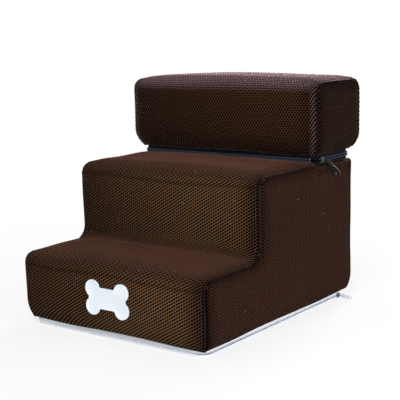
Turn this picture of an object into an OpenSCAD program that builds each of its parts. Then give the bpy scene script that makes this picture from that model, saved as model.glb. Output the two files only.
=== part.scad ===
// Three-step foam stairs for a pet: a lower block with two steps and a separate
// upper block that a zip joins to it. Each block is a foam core in a padded mesh cover.
// Millimetres. The origin is on the floor under the middle of the lower block, +Z is up,
// the front with the first riser faces -Y, and +X is on the right as one faces the front.

/* [Lower block] */
// Width of the foam core, side to side
core_w = 333; // [280:1:420]
// Depth of the foam core, front to back
core_l = 394; // [360:1:480]
// Height of the first step's foam above the floor
step_1_h = 108; // [85:1:130]
// Height of the second step's foam above the floor
step_2_h = 228; // [190:1:270]
// Depth from the front of the foam to the second riser
tread_1_l = 134; // [110:1:170]
// Height of the cover's sewn hem above the floor
hem_h = 11; // [10.5:0.5:16]
// How far the walls draw in to the hem
hem_tuck = 6; // [3:0.5:10]
// Height over which the walls draw in to the hem
hem_tuck_h = 30; // [20:1:50]

/* [Upper block] */
// Height of the upper foam's top above the floor
upper_top_h = 352; // [310:1:420]
// Depth from the joining zip to the back of the lower foam
upper_l = 104; // [96:1:140]
// How far the upper foam stands out past the joining zip
upper_overhang = 9.5; // [4:0.5:12]
// Height over which the upper walls draw in to the zip
upper_tuck_h = 28; // [20:1:40]
// Width of the raised soft edge round the bottom of the upper block
soft_edge_w = 26; // [18:1:34]

/* [Padded covers] */
// Thickness of the padded mesh in the middle of a panel
cover_t = 6; // [4:0.5:9]
// Thickness of the padded mesh where it is pressed into a seam
seam_t = 3; // [2:0.25:4]
// Radius of the rolled edges and of the foam's outer corners
edge_r = 12; // [9:1:18]
// Radius of the inner corner between the first tread and the second riser
inner_corner_r = 26; // [14:1:32]
// Extra crown of the steps and of the top at the middle of the width
step_crown = 4; // [0:0.5:7]
// Extra bulge of the side panels
side_crown = 2.5; // [0:0.5:5]
// Extra bulge of the back panel
back_crown = 2; // [0:0.5:5]
// Thickness of the padded deck under the upper block
deck_t = 3; // [2:0.5:5]
// Thickness of the plain cloth under each block
cloth_t = 1.6; // [1.2:0.1:1.8]

/* [Joining zip] */
// Height of the band between the lower and the upper seam
band_h = 17; // [16:0.5:24]
// Thickness of the woven tape
tape_t = 0.8; // [0.5:0.1:1.2]
// Radius of each nylon coil
join_coil_r = 1.2; // [0.9:0.1:1.5]
// Slit between the two coils, which the neck of the slider runs in
join_slit = 1.2; // [1:0.1:1.6]
// Radius of the tape's corners
join_corner_r = 10; // [8:1:16]
// Length of the slider's body
join_slider_l = 12; // [10:0.5:15]
// Length of the pull, from the bail to the tip
join_pull_l = 34; // [24:1:42]
// Width of the pull at its wide end
join_pull_w = 10.5; // [8:0.5:13]
// Angle of the pull from hanging straight down, outwards
join_pull_angle = 48; // [30:1:70]

/* [Base zip] */
// Radius of each nylon coil
base_coil_r = 0.9; // [0.7:0.1:1.1]
// Slit between the two coils
base_slit = 1; // [0.9:0.1:1.3]
// Radius of the tape's corners
base_corner_r = 14; // [10:1:20]
// Length of the slider's body
base_slider_l = 10; // [8:0.5:12]
// Length of the pull, from the bail to the tip
base_pull_l = 22; // [16:1:28]
// Width of the pull at its wide end
base_pull_w = 6.8; // [5:0.2:8]
// Angle of the pull below level
base_pull_drop = 4; // [0:0.5:6]

/* [Badge] */
// Width of the bone-shaped badge
badge_w = 80; // [60:1:100]
// Radius of the four lobes of the bone
lobe_r = 13; // [9:0.5:16]
// Height of the bone's waist
waist_h = 31; // [20:1:36]
// Depth of the notch between two lobes
notch_depth = 6; // [4:0.5:8]
// Thickness of the badge inside its rim
badge_t = 2.2; // [1.5:0.1:3]
// Height of the raised rim
rim_h = 0.8; // [0.4:0.1:1.2]
// Width of the raised rim
rim_w = 2; // [1.2:0.2:3]
// Distance of the badge's centre to the right of the middle
badge_right = 3; // [-60:1:60]
// Height of the badge's centre above the floor
badge_h = 65; // [55:1:70]

/* [Hidden] */

mesh_brown = [0.24, 0.16, 0.12];
foam_cream = [0.93, 0.9, 0.8];
tape_black = [0.05, 0.05, 0.06];
coil_grey = [0.3, 0.33, 0.4];
tape_white = [0.93, 0.95, 0.97];
badge_white = [0.9, 0.95, 0.98];
metal_grey = [0.55, 0.56, 0.6];
$fn = 48;

// Air left between the foam and its cover, and between two panels at a seam
cover_gap = 0.2;
seam_gap = 0.8;
// Running clearance of the zips, and the air left above the floor
zip_gap = 0.3;
floor_gap = 0.4;
// One overrun for all cuts
cut = 1;
// Two grid lines closer than this are the same line
same_line = 0.01;
// Length of straight coil in front of a slider that stands at the end of its run
slider_rest_gap = 1;
// Steps of a rounded corner, and the places of grid lines across a rolled edge
corner_steps = 4;
corner_share = 1 - tan(90 / corner_steps);
roll_shares = [0.15, corner_share, 1];
// Distance from a seam over which the crown of a panel builds up
crown_reach = 60;

// The lower block's foam and the inner faces of its cover
core_y0 = -core_l / 2;
core_y1 = core_y0 + tread_1_l;
core_y2 = core_l / 2;
zip_y = core_y2 - upper_l;
wall_x = core_w / 2 + cover_gap;
wall_y0 = core_y0 - cover_gap;
wall_y1 = core_y1 - cover_gap;
wall_y2 = core_y2 + cover_gap;
tread_1_z = step_1_h + cover_gap;
tread_2_z = step_2_h + cover_gap;

// The joining zip: the tape's outer face, and the middle of the coils
join_tape_gap = 0.3;
join_tape_x = core_w / 2 + join_tape_gap + tape_t;
join_y0 = zip_y;
join_y2 = core_y2 + join_tape_gap + tape_t;
join_z = step_2_h + band_h / 2;
join_top_z = step_2_h + band_h;
join_coil_z = join_slit / 2 + join_coil_r;
join_coil_gap = 0.1;
join_slider_y = join_y0 + join_corner_r + join_slider_l / 2 + slider_rest_gap;
join_coil_start_y = join_slider_y + join_slider_l / 2 + zip_gap;
join_plate_t = 1;
join_plate_h = 2 * (join_slit / 2 + 2 * join_coil_r + zip_gap + join_plate_t);
join_bail_r = 0.8;
join_bail_h = 4.4;
join_bail_w = 6.4;

// The upper block's foam and the inner faces of its cover
upper_x = core_w / 2 + upper_overhang;
upper_y0 = zip_y + tape_t - upper_overhang;
upper_y2 = core_y2 + upper_overhang;
upper_mid_y = (upper_y0 + upper_y2) / 2;
upper_half_l = (upper_y2 - upper_y0) / 2;
upper_wall_x = upper_x + cover_gap;
upper_wall_y0 = upper_y0 - cover_gap;
upper_wall_y2 = upper_y2 + cover_gap;
upper_top_z = upper_top_h + cover_gap;
rest_z = step_2_h + cover_gap + deck_t + zip_gap;
upper_bottom_z = rest_z + cloth_t + cover_gap;

// The base zip: the tape's outer face, and the middle of the coils
base_inset = hem_tuck - join_tape_gap;
base_tape_x = core_w / 2 - base_inset + tape_t;
base_y0 = core_y0 + base_inset - tape_t;
base_y2 = core_y2 - base_inset + tape_t;
base_z = (hem_h + floor_gap) / 2;
base_coil_z = base_slit / 2 + base_coil_r;
base_coil_gap = 0.1;
base_plate_t = 0.8;
base_plate_h = 2 * (base_slit / 2 + 2 * base_coil_r + zip_gap + base_plate_t);
base_slider_y = base_y2 - base_corner_r - base_slider_l / 2 - slider_rest_gap;
base_bail_r = 0.6;
base_bail_h = 3.2;
base_bail_w = 4.6;
base_pull_t = 1.2;
join_pull_t = 1.6;
stop_l = 2.4;

// Foam is cut back at its lower edges, to sit inside the drawn-in cover and the tape's round corners
core_bevel = base_inset + base_corner_r * (1 - sqrt(1 / 2));
core_bottom_z = cloth_t + cover_gap;
upper_bevel = soft_edge_w + upper_overhang;

function clamp_share(t) = min(1, max(0, t));
function between(a, b, t) = a + (b - a) * t;
// Height of a rolled edge: 0 at the seam and 1 from one radius inwards
function roll(d, r) = sqrt(1 - pow(1 - clamp_share(d / r), 2));
// How far a wall is drawn in at height z above a seam at z0
function tuck(z, z0, depth, reach) = depth * pow(1 - clamp_share((z - z0) / reach), 2);
function index_of(list, value) =
    [for (k = [0 : len(list) - 1]) if (abs(list[k] - value) < same_line) k][0];
function reversed(list) = [for (k = [len(list) - 1 : -1 : 0]) list[k]];
// Evenly spaced lines after a and up to b
function spaced(a, b, n) = [for (k = [1 : n]) between(a, b, k / n)];
// Grid lines across a rolled edge that starts or ends at a seam
function roll_from(a, r) = [a, for (s = roll_shares) a + s * r];
function roll_to(b, r) = [for (s = reversed(roll_shares)) b - s * r, b];
// Grid lines from seam a to seam b, with a roll at each
function panel_lines(a, b, n) = concat(roll_from(a, edge_r), spaced(a + edge_r, b - edge_r, n),
    [for (k = [1 : len(roll_shares)]) roll_to(b, edge_r)[k]]);
// Grid lines up a wall that draws in to a seam at z0 over the height reach
function foot_lines(z0, reach) = concat(roll_from(z0, edge_r), spaced(z0 + edge_r, z0 + reach, 2));
function wall_lines(z0, reach, z1, n) = concat(foot_lines(z0, reach),
    spaced(z0 + reach, z1 - edge_r, n), [for (k = [1 : len(roll_shares)]) roll_to(z1, edge_r)[k]]);
// Points of an arc as [y, z, normal y, normal z]; side is 1 outwards and -1 inwards
function arc_path(cy, cz, r, from, to, side) =
    [for (k = [1 : corner_steps])
        let (a = between(from, to, k / corner_steps))
        [cy + r * cos(a), cz + r * sin(a), side * cos(a), side * sin(a)]];
// Pulls the corner of a square grid on to the arc about m, for points in the given quadrant
function rounded(p, m, sy, sz, limit) =
    let (v = p - m, far = max(abs(v[0]), abs(v[1])))
    v[0] * sy >= 0 && v[1] * sz >= 0 && far <= limit + same_line && far > 0
        ? m + v * far / norm(v) : p;
// Draws the lower cover in towards the hem, and the upper cover in towards the zip
function hemmed(p) =
    let (in = tuck(p[2], hem_h, hem_tuck, hem_tuck_h))
    [p[0] * (1 - in / wall_x), p[1] * (1 - in / wall_y2), p[2]];
function drawn_to_zip(p) =
    let (in = tuck(p[2], join_top_z, upper_overhang, upper_tuck_h))
    [p[0] * (1 - in / upper_x), upper_mid_y + (p[1] - upper_mid_y) * (1 - in / upper_half_l), p[2]];

// The same grid of points, each one moved by a function
function moved(grid, move) = [for (row = grid) [for (p = row) move(p)]];
// How far a grid line within one roll of a seam moves out, for the mitre at that seam
function mitre(x, half) = sign(x) * seam_t * (1 - clamp_share((half - abs(x)) / edge_r));

// A padded panel between two grids of points. First index times second index points from the
// inner grid to the outer one. Cells before hole_i and from hole_j on are left out.
module padded_panel(inner, outer, hole_i = 0, hole_j = 0) {
    ni = len(inner) - 1;
    nj = len(inner[0]) - 1;
    base = (ni + 1) * (nj + 1);
    function filled(i, j) =
        i >= 0 && i < ni && j >= 0 && j < nj && !(i < hole_i && j >= hole_j);
    function at(i, j) = i * (nj + 1) + j;
    function wall(a, b) = [[base + a, base + b, b], [base + a, b, a]];
    faces = [for (i = [0 : ni - 1], j = [0 : nj - 1]) if (filled(i, j))
        let (a = at(i, j), b = at(i + 1, j), c = at(i + 1, j + 1), d = at(i, j + 1))
        each concat(
            [[a, b, c], [a, c, d], [base + a, base + d, base + c], [base + a, base + c, base + b]],
            filled(i, j - 1) ? [] : wall(a, b),
            filled(i, j + 1) ? [] : wall(c, d),
            filled(i - 1, j) ? [] : wall(d, a),
            filled(i + 1, j) ? [] : wall(b, c))];
    polyhedron([for (row = inner) each row, for (row = outer) each row], faces);
}

// A strip over a path of [y, z, normal y, normal z], rolled at both sides. Each entry of ends
// tells how full the strip is near its sewn ends: [padding share, crown share].
module strip_panel(path, ends, half, move) {
    xs = panel_lines(-half, half, 6);
    inner = [for (x = xs) [for (p = path) [x, p[0], p[1]]]];
    outer = [for (x = xs) [for (k = [0 : len(path) - 1])
        let (p = path[k],
            t = seam_t + (cover_t - seam_t) * roll(half - abs(x), edge_r) * ends[k][0]
                + step_crown * (1 - pow(x / half, 2)) * ends[k][1])
        [x + mitre(x, half), p[0] + p[2] * t, p[1] + p[3] * t]]];
    padded_panel(moved(inner, move), moved(outer, move));
}
// Padding and crown shares at distances a and b from the two sewn ends
function end_shares(a, b) =
    [roll(a, edge_r) * roll(b, edge_r), roll(a, crown_reach) * roll(b, crown_reach)];

// The foam is a stair-shaped prism with its lower edges cut back
module foam(side_outline, front_outline, w, l, mid_y) {
    intersection() {
        rotate([90, 0, 90]) linear_extrude(w, center = true) polygon(side_outline);
        translate([0, mid_y, 0]) rotate([90, 0, 0])
            linear_extrude(l, center = true) polygon(front_outline);
    }
}
function flat(path) = [for (p = path) [p[0], p[1]]];

module lower_foam_core() {
    bevel_top = hem_h + hem_tuck_h;
    side = concat(
        [[core_y0 + core_bevel, core_bottom_z], [core_y0 + core_bevel, hem_h], [core_y0, bevel_top],
            [core_y0, step_1_h - edge_r]],
        flat(arc_path(core_y0 + edge_r, step_1_h - edge_r, edge_r, 180, 90, 1)),
        [[core_y1 - inner_corner_r - cover_gap, step_1_h]],
        flat(arc_path(core_y1 - inner_corner_r - cover_gap, step_1_h + inner_corner_r + cover_gap,
            inner_corner_r + cover_gap, -90, 0, -1)),
        [[core_y1, step_2_h - edge_r]],
        flat(arc_path(core_y1 + edge_r, step_2_h - edge_r, edge_r, 180, 90, 1)),
        [[core_y2, step_2_h], [core_y2, bevel_top], [core_y2 - core_bevel, hem_h],
            [core_y2 - core_bevel, core_bottom_z]]);
    x = core_w / 2;
    front = [[core_bevel - x, core_bottom_z], [x - core_bevel, core_bottom_z],
        [x - core_bevel, hem_h], [x, bevel_top], [x, step_2_h], [-x, step_2_h], [-x, bevel_top],
        [core_bevel - x, hem_h]];
    color(foam_cream) foam(side, front, core_w, core_l, 0);
}

// The strip of padded mesh over riser, tread, riser and tread, from the hem to the joining zip
step_end_y = zip_y - join_tape_gap;
step_path = concat(
    [for (z = concat(foot_lines(hem_h, hem_tuck_h),
            spaced(hem_h + hem_tuck_h, tread_1_z - edge_r, 3)))
        [wall_y0, z, -1, 0]],
    arc_path(wall_y0 + edge_r, tread_1_z - edge_r, edge_r, 180, 90, 1),
    [for (y = spaced(wall_y0 + edge_r, wall_y1 - inner_corner_r, 4)) [y, tread_1_z, 0, 1]],
    arc_path(wall_y1 - inner_corner_r, tread_1_z + inner_corner_r, inner_corner_r, -90, 0, -1),
    [for (z = spaced(tread_1_z + inner_corner_r, tread_2_z - edge_r, 3)) [wall_y1, z, -1, 0]],
    arc_path(wall_y1 + edge_r, tread_2_z - edge_r, edge_r, 180, 90, 1),
    [for (y = spaced(wall_y1 + edge_r, step_end_y - edge_r, 4)) [y, tread_2_z, 0, 1]],
    [for (k = [1 : len(roll_shares)]) [roll_to(step_end_y, edge_r)[k], tread_2_z, 0, 1]]);

module step_panel() {
    ends = [for (p = step_path) end_shares(p[1] - hem_h, step_end_y - p[0])];
    color(mesh_brown)
        strip_panel(step_path, ends, wall_x - seam_gap, function (p) hemmed(p));
}

// A stair-shaped side panel on the +X side, sewn to the step panel along its stepped edge
module right_side_panel() {
    ys = concat(roll_from(wall_y0, edge_r),
        spaced(wall_y0 + edge_r, wall_y1 - inner_corner_r, 2),
        [wall_y1 - inner_corner_r * corner_share], roll_from(wall_y1, edge_r),
        spaced(wall_y1 + edge_r, zip_y, 3), spaced(zip_y, wall_y2 - edge_r, 2),
        [for (k = [1 : len(roll_shares)]) roll_to(wall_y2, edge_r)[k]]);
    zs = concat(wall_lines(hem_h, hem_tuck_h, tread_1_z, 2),
        [tread_1_z + inner_corner_r * corner_share, tread_1_z + inner_corner_r],
        spaced(tread_1_z + inner_corner_r, tread_2_z - edge_r, 2),
        [for (k = [1 : len(roll_shares)]) roll_to(tread_2_z, edge_r)[k]]);
    hole_i = index_of(ys, wall_y1);
    hole_j = index_of(zs, tread_1_z);
    last_i = len(ys) - 1;
    last_j = len(zs) - 1;
    zip_i = index_of(ys, zip_y);
    // Fullness of a rectangle of padding from y0 to the back and from the hem to z1
    function full(y, z, y0, z1, r) =
        roll(y - y0, r) * roll(wall_y2 - y, r) * roll(z - hem_h, r) * roll(z1 - z, r);
    function fullness(y, z, r) =
        max(full(y, z, wall_y0, tread_1_z, r), full(y, z, wall_y1, tread_2_z, r));
    function out_y(i, j) = i == last_i ? seam_t
        : i == 0 || (i == hole_i && j >= hole_j) ? -seam_t : 0;
    function out_z(i, j) = (j == hole_j && i <= hole_i) || (j == last_j && i < zip_i) ? seam_t : 0;
    // Round corners of the stepped edge: both nosings, and the inner corner between them
    function eased(p) =
        rounded(rounded(rounded(p,
            [wall_y0 + edge_r, tread_1_z - edge_r], -1, 1, edge_r + seam_t),
            [wall_y1 + edge_r, tread_2_z - edge_r], -1, 1, edge_r + seam_t),
            [wall_y1 - inner_corner_r, tread_1_z + inner_corner_r], 1, -1, inner_corner_r);
    inner = [for (i = [0 : last_i]) [for (j = [0 : last_j])
        let (q = eased([ys[i], zs[j]])) [wall_x, q[0], q[1]]]];
    outer = [for (i = [0 : last_i]) [for (j = [0 : last_j])
        let (y = ys[i], z = zs[j], q = eased([y + out_y(i, j), z + out_z(i, j)]),
            t = seam_t + (cover_t - seam_t) * fullness(y, z, edge_r)
                + side_crown * fullness(y, z, crown_reach))
        [wall_x + t, q[0], q[1]]]];
    color(mesh_brown)
        padded_panel(moved(inner, function (p) hemmed(p)), moved(outer, function (p) hemmed(p)),
            hole_i, hole_j);
}

module left_side_panel() {
    mirror([1, 0, 0]) right_side_panel();
}

module lower_back_panel() {
    half = wall_x - seam_gap;
    xs = panel_lines(-half, half, 5);
    zs = wall_lines(hem_h, hem_tuck_h, tread_2_z, 4);
    function full(x, z, r) = roll(half - abs(x), r) * roll(z - hem_h, r) * roll(tread_2_z - z, r);
    inner = [for (z = zs) [for (x = xs) [x, wall_y2, z]]];
    outer = [for (z = zs) [for (x = xs)
        [x + mitre(x, half), wall_y2 + seam_t + (cover_t - seam_t) * full(x, z, edge_r)
            + back_crown * full(x, z, crown_reach), z]]];
    color(mesh_brown)
        padded_panel(moved(inner, function (p) hemmed(p)), moved(outer, function (p) hemmed(p)));
}

// A rectangle with round corners, from its lowest to its highest corner
module round_rect(x0, y0, x1, y1, r) {
    translate([x0 + r, y0]) square([x1 - x0 - 2 * r, y1 - y0]);
    translate([x0, y0 + r]) square([x1 - x0, y1 - y0 - 2 * r]);
    for (x = [x0 + r, x1 - r], y = [y0 + r, y1 - r]) translate([x, y]) circle(r);
}

// The padded cloth that closes the lower block inside the loop of the joining zip
module deck_panel() {
    in = tape_t + cover_gap;
    color(mesh_brown) translate([0, 0, step_2_h + cover_gap]) linear_extrude(deck_t)
        round_rect(-join_tape_x + in, join_y0 + in, join_tape_x - in, join_y2 - in,
            join_corner_r - in);
}

module base_panel() {
    in = tape_t + cover_gap;
    color(tape_white) linear_extrude(cloth_t)
        round_rect(-base_tape_x + in, base_y0 + in, base_tape_x - in, base_y2 - in,
            base_corner_r - in);
}

// One woven tape, sewn into a closed loop round a block; the outer face is at x, y0 and y2
module tape_loop(x, y0, y2, r, z0, z1) {
    translate([0, 0, z0]) linear_extrude(z1 - z0) difference() {
        round_rect(-x, y0, x, y2, r);
        round_rect(-x + tape_t, y0 + tape_t, x - tape_t, y2 - tape_t, r - tape_t);
    }
}

// A straight run of coil in the XY plane, and a quarter turn of it from angle a0
module coil_run(from, to, z, r) {
    d = to - from;
    translate([from[0], from[1], z]) rotate([0, 90, atan2(d[1], d[0])]) cylinder(h = norm(d), r = r);
}
module coil_turn(mid, z, bend, r, a0) {
    translate([mid[0], mid[1], z]) rotate([0, 0, a0])
        rotate_extrude(angle = 90) translate([bend, 0]) circle(r);
}

// The coil of the joining zip, from behind the slider round the back to the front right corner
module join_coil(z) {
    out = join_coil_r + join_coil_gap;
    bend = join_corner_r + out;
    cx = join_tape_x - join_corner_r;
    y0 = join_y0 - out;
    ya = join_y0 + join_corner_r;
    yb = join_y2 - join_corner_r;
    color(coil_grey) {
        coil_run([cx + bend, join_coil_start_y], [cx + bend, yb], z, join_coil_r);
        coil_turn([cx, yb], z, bend, join_coil_r, 0);
        coil_run([cx, yb + bend], [-cx, yb + bend], z, join_coil_r);
        coil_turn([-cx, yb], z, bend, join_coil_r, 90);
        coil_run([-cx - bend, yb], [-cx - bend, ya], z, join_coil_r);
        coil_turn([-cx, ya], z, bend, join_coil_r, 180);
        coil_run([-cx, y0], [cx, y0], z, join_coil_r);
    }
}

// The coil of the base zip, from the back right corner round the front to the same corner
module base_coil(z) {
    out = base_coil_r + base_coil_gap;
    bend = base_corner_r + out;
    cx = base_tape_x - base_corner_r;
    ya = base_y0 + base_corner_r;
    yb = base_y2 - base_corner_r;
    color(tape_white) {
        coil_run([cx + bend, yb], [cx + bend, ya], z, base_coil_r);
        coil_turn([cx, ya], z, bend, base_coil_r, 270);
        coil_run([cx, ya - bend], [-cx, ya - bend], z, base_coil_r);
        coil_turn([-cx, ya], z, bend, base_coil_r, 180);
        coil_run([-cx - bend, ya], [-cx - bend, yb], z, base_coil_r);
        coil_turn([-cx, yb], z, bend, base_coil_r, 90);
        coil_run([-cx, yb + bend], [cx, yb + bend], z, base_coil_r);
    }
}

// A slider on tapes whose outer face is x = 0, with the coils' slit along y at z = 0. Two plates
// are joined by a neck in the slit, lips close over the coils, and a bail stands on the front.
module zip_slider(l, h, plate_t, coil_r, coil_gap, slit, bail_r, bail_h, bail_w) {
    front_x = coil_gap + 2 * coil_r + zip_gap;
    back_x = -tape_t - zip_gap - plate_t;
    neck_l = l / 4;
    neck_h = slit - 2 * coil_gap - cover_gap;
    shoulder = l / 4;
    outline = [[-l / 2, -h / 2 + shoulder / 2], [-l / 2 + shoulder / 2, -h / 2], [l / 2, -h / 2],
        [l / 2, h / 2], [-l / 2 + shoulder / 2, h / 2], [-l / 2, h / 2 - shoulder / 2]];
    for (x = [back_x, front_x]) translate([x, 0, 0]) plate(outline, plate_t);
    translate([back_x, -l / 2, -neck_h / 2]) cube([front_x - back_x + plate_t, neck_l, neck_h]);
    for (side = [-1, 1])
        translate([zip_gap, -l / 2 + shoulder / 2, side * (h - plate_t) / 2 - plate_t / 2])
            cube([front_x - zip_gap + plate_t, l - shoulder / 2, plate_t]);
    bail_x = front_x + plate_t + bail_h - bail_r;
    for (side = [-1, 1]) translate([front_x, side * bail_w / 2, 0]) {
        rotate([0, 90, 0]) cylinder(h = bail_x - front_x, r = bail_r, $fn = 24);
        translate([bail_x - front_x, 0, 0]) sphere(r = bail_r, $fn = 24);
    }
    translate([bail_x, -bail_w / 2, 0]) rotate([-90, 0, 0]) cylinder(h = bail_w, r = bail_r, $fn = 24);
}
module plate(outline, t) {
    rotate([90, 0, 90]) linear_extrude(t) polygon(outline);
}
// Distance of the bail's bar from the tape's outer face
function bail_reach(coil_r, coil_gap, plate_t, bail_r, bail_h) =
    coil_gap + 2 * coil_r + zip_gap + plate_t + bail_h - bail_r;

// A flat pull in the XZ plane that hangs along +X from an eye round the bail's bar. The eye's wall
// and the place where the pull gets its full width are shares of the bar and of the eye.
pull_eye_share = 1.6;
pull_flare_share = 2.5;
pull_neck_share = 0.55;
module zip_pull(l, w, t, bail_r) {
    hole_r = bail_r + zip_gap;
    eye_r = hole_r + pull_eye_share * bail_r;
    flare_x = pull_flare_share * eye_r;
    tip_r = w / 2;
    neck_w = pull_neck_share * w;
    tip_x = l - tip_r;
    rotate([90, 0, 0]) linear_extrude(t, center = true) difference() {
        union() {
            circle(eye_r);
            translate([tip_x, 0]) circle(tip_r);
            polygon([[0, -neck_w / 2], [eye_r, -neck_w / 2], [flare_x, -tip_r], [tip_x, -tip_r],
                [tip_x, tip_r], [flare_x, tip_r], [eye_r, neck_w / 2], [0, neck_w / 2]]);
        }
        circle(hole_r);
        translate([tip_x, 0]) circle(tip_r / 2);
    }
}

module join_zip_slider() {
    color(metal_grey) translate([join_tape_x, join_slider_y, join_z])
        zip_slider(join_slider_l, join_plate_h, join_plate_t, join_coil_r, join_coil_gap, join_slit,
            join_bail_r, join_bail_h, join_bail_w);
}
join_bar_x = join_tape_x
    + bail_reach(join_coil_r, join_coil_gap, join_plate_t, join_bail_r, join_bail_h);
module join_zip_pull() {
    color(tape_black) translate([join_bar_x, join_slider_y, join_z])
        rotate([0, 90 - join_pull_angle, 0])
            zip_pull(join_pull_l, join_pull_w, join_pull_t, join_bail_r);
}
module base_zip_slider() {
    color(metal_grey) translate([base_tape_x, base_slider_y, base_z])
        zip_slider(base_slider_l, base_plate_h, base_plate_t, base_coil_r, base_coil_gap, base_slit,
            base_bail_r, base_bail_h, base_bail_w);
}
base_bar_x = base_tape_x
    + bail_reach(base_coil_r, base_coil_gap, base_plate_t, base_bail_r, base_bail_h);
module base_zip_pull() {
    color(tape_white) translate([base_bar_x, base_slider_y, base_z]) rotate([0, base_pull_drop, 0])
        zip_pull(base_pull_l, base_pull_w, base_pull_t, base_bail_r);
}

module join_zip_lower_tape() {
    color(tape_black) tape_loop(join_tape_x, join_y0, join_y2, join_corner_r,
        step_2_h + cover_gap, join_z - join_coil_z);
}
module join_zip_upper_tape() {
    color(tape_black) tape_loop(join_tape_x, join_y0, join_y2, join_corner_r,
        join_z + join_coil_z, join_top_z - cover_gap);
}
module join_zip_lower_coil() {
    join_coil(join_z - join_coil_z);
}
module join_zip_upper_coil() {
    join_coil(join_z + join_coil_z);
}
// A crimped stop on the edge of a tape, just past the end of its coil
module join_stop(side) {
    h = 2 * join_coil_r;
    z = side > 0 ? join_z + join_slit / 2 : join_z - join_slit / 2 - h;
    color(metal_grey)
        translate([join_tape_x - join_corner_r + zip_gap, join_y0 - h, z])
            cube([stop_l, h - zip_gap / 2, h]);
}
module join_zip_lower_stop() {
    join_stop(-1);
}
module join_zip_upper_stop() {
    join_stop(1);
}

module base_zip_floor_tape() {
    color(tape_white) tape_loop(base_tape_x, base_y0, base_y2, base_corner_r,
        floor_gap, base_z - base_coil_z);
}
module base_zip_cover_tape() {
    color(tape_white) tape_loop(base_tape_x, base_y0, base_y2, base_corner_r,
        base_z + base_coil_z, hem_h - cover_gap);
}
module base_zip_floor_coil() {
    base_coil(base_z - base_coil_z);
}
module base_zip_cover_coil() {
    base_coil(base_z + base_coil_z);
}
// A pair of crimped stops in the back right corner, where the base zip ends
module base_zip_stops() {
    h = 2 * base_coil_r;
    color(metal_grey) for (z = [base_z - base_slit / 2 - h, base_z + base_slit / 2])
        translate([base_tape_x - base_corner_r + zip_gap, base_y2 + zip_gap / 2, z])
            cube([stop_l, h - zip_gap / 2, h]);
}

// A bone: four lobes and a waist, drawn in by a margin
module bone(margin) {
    lobe_x = badge_w / 2 - lobe_r;
    for (x = [-lobe_x, lobe_x], z = [-lobe_r, lobe_r]) translate([x, z]) circle(lobe_r - margin);
    square([2 * lobe_x, waist_h - 2 * margin], center = true);
    square([badge_w - 2 * notch_depth - 2 * margin, lobe_r], center = true);
}
badge_y = wall_y0 - cover_t - step_crown - zip_gap;
module bone_badge() {
    color(badge_white) translate([badge_right, badge_y, badge_h]) rotate([90, 0, 0]) {
        linear_extrude(badge_t) bone(0);
        linear_extrude(badge_t + rim_h) difference() {
            bone(0);
            bone(rim_w);
        }
    }
}

module upper_foam_core() {
    y0 = upper_y0;
    y2 = upper_y2;
    z0 = upper_bottom_z;
    z1 = join_top_z + seam_t;
    z2 = join_top_z + upper_tuck_h;
    step = upper_overhang + seam_t;
    side = concat(
        [[y0 + upper_bevel, z0], [y0 + step, z1], [y0, z2], [y0, upper_top_h - edge_r]],
        flat(arc_path(y0 + edge_r, upper_top_h - edge_r, edge_r, 180, 90, 1)),
        [[y2 - edge_r, upper_top_h]],
        flat(arc_path(y2 - edge_r, upper_top_h - edge_r, edge_r, 90, 0, 1)),
        [[y2, z2], [y2 - step, z1], [y2 - upper_bevel, z0]]);
    front = [[upper_bevel - upper_x, z0], [upper_x - upper_bevel, z0], [upper_x - step, z1],
        [upper_x, z2], [upper_x, upper_top_h], [-upper_x, upper_top_h], [-upper_x, z2],
        [step - upper_x, z1]];
    color(foam_cream) foam(side, front, 2 * upper_x, y2 - y0 + 2 * cut, upper_mid_y);
}

// The strip of padded mesh over the front, top and back of the upper block
upper_foot = foot_lines(join_top_z, upper_tuck_h);
upper_path = concat(
    [for (z = concat(foot_lines(join_top_z, upper_tuck_h),
            spaced(join_top_z + upper_tuck_h, upper_top_z - edge_r, 3)))
        [upper_wall_y0, z, -1, 0]],
    arc_path(upper_wall_y0 + edge_r, upper_top_z - edge_r, edge_r, 180, 90, 1),
    [for (y = spaced(upper_wall_y0 + edge_r, upper_wall_y2 - edge_r, 4)) [y, upper_top_z, 0, 1]],
    arc_path(upper_wall_y2 - edge_r, upper_top_z - edge_r, edge_r, 90, 0, 1),
    [for (z = concat(spaced(upper_top_z - edge_r, join_top_z + upper_tuck_h, 3),
            [for (k = [1 : len(upper_foot) - 1]) reversed(upper_foot)[k]]))
        [upper_wall_y2, z, 1, 0]]);

module upper_wrap_panel() {
    ends = [for (p = upper_path) end_shares(p[1] - join_top_z, p[1] - join_top_z)];
    color(mesh_brown)
        strip_panel(upper_path, ends, upper_wall_x - seam_gap, function (p) drawn_to_zip(p));
}

module upper_right_panel() {
    ys = panel_lines(upper_wall_y0, upper_wall_y2, 3);
    zs = wall_lines(join_top_z, upper_tuck_h, upper_top_z, 2);
    last_i = len(ys) - 1;
    last_j = len(zs) - 1;
    function full(y, z, r) = roll(y - upper_wall_y0, r) * roll(upper_wall_y2 - y, r)
        * roll(z - join_top_z, r) * roll(upper_top_z - z, r);
    function eased(p) =
        rounded(rounded(p,
            [upper_wall_y0 + edge_r, upper_top_z - edge_r], -1, 1, edge_r + seam_t),
            [upper_wall_y2 - edge_r, upper_top_z - edge_r], 1, 1, edge_r + seam_t);
    function out_y(i) = i == 0 ? -seam_t : i == last_i ? seam_t : 0;
    inner = [for (y = ys) [for (z = zs) let (q = eased([y, z])) [upper_wall_x, q[0], q[1]]]];
    outer = [for (i = [0 : last_i]) [for (j = [0 : last_j])
        let (y = ys[i], z = zs[j], q = eased([y + out_y(i), z + (j == last_j ? seam_t : 0)]))
        [upper_wall_x + seam_t + (cover_t - seam_t) * full(y, z, edge_r)
            + side_crown * full(y, z, crown_reach), q[0], q[1]]]];
    color(mesh_brown) padded_panel(moved(inner, function (p) drawn_to_zip(p)),
        moved(outer, function (p) drawn_to_zip(p)));
}

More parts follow.
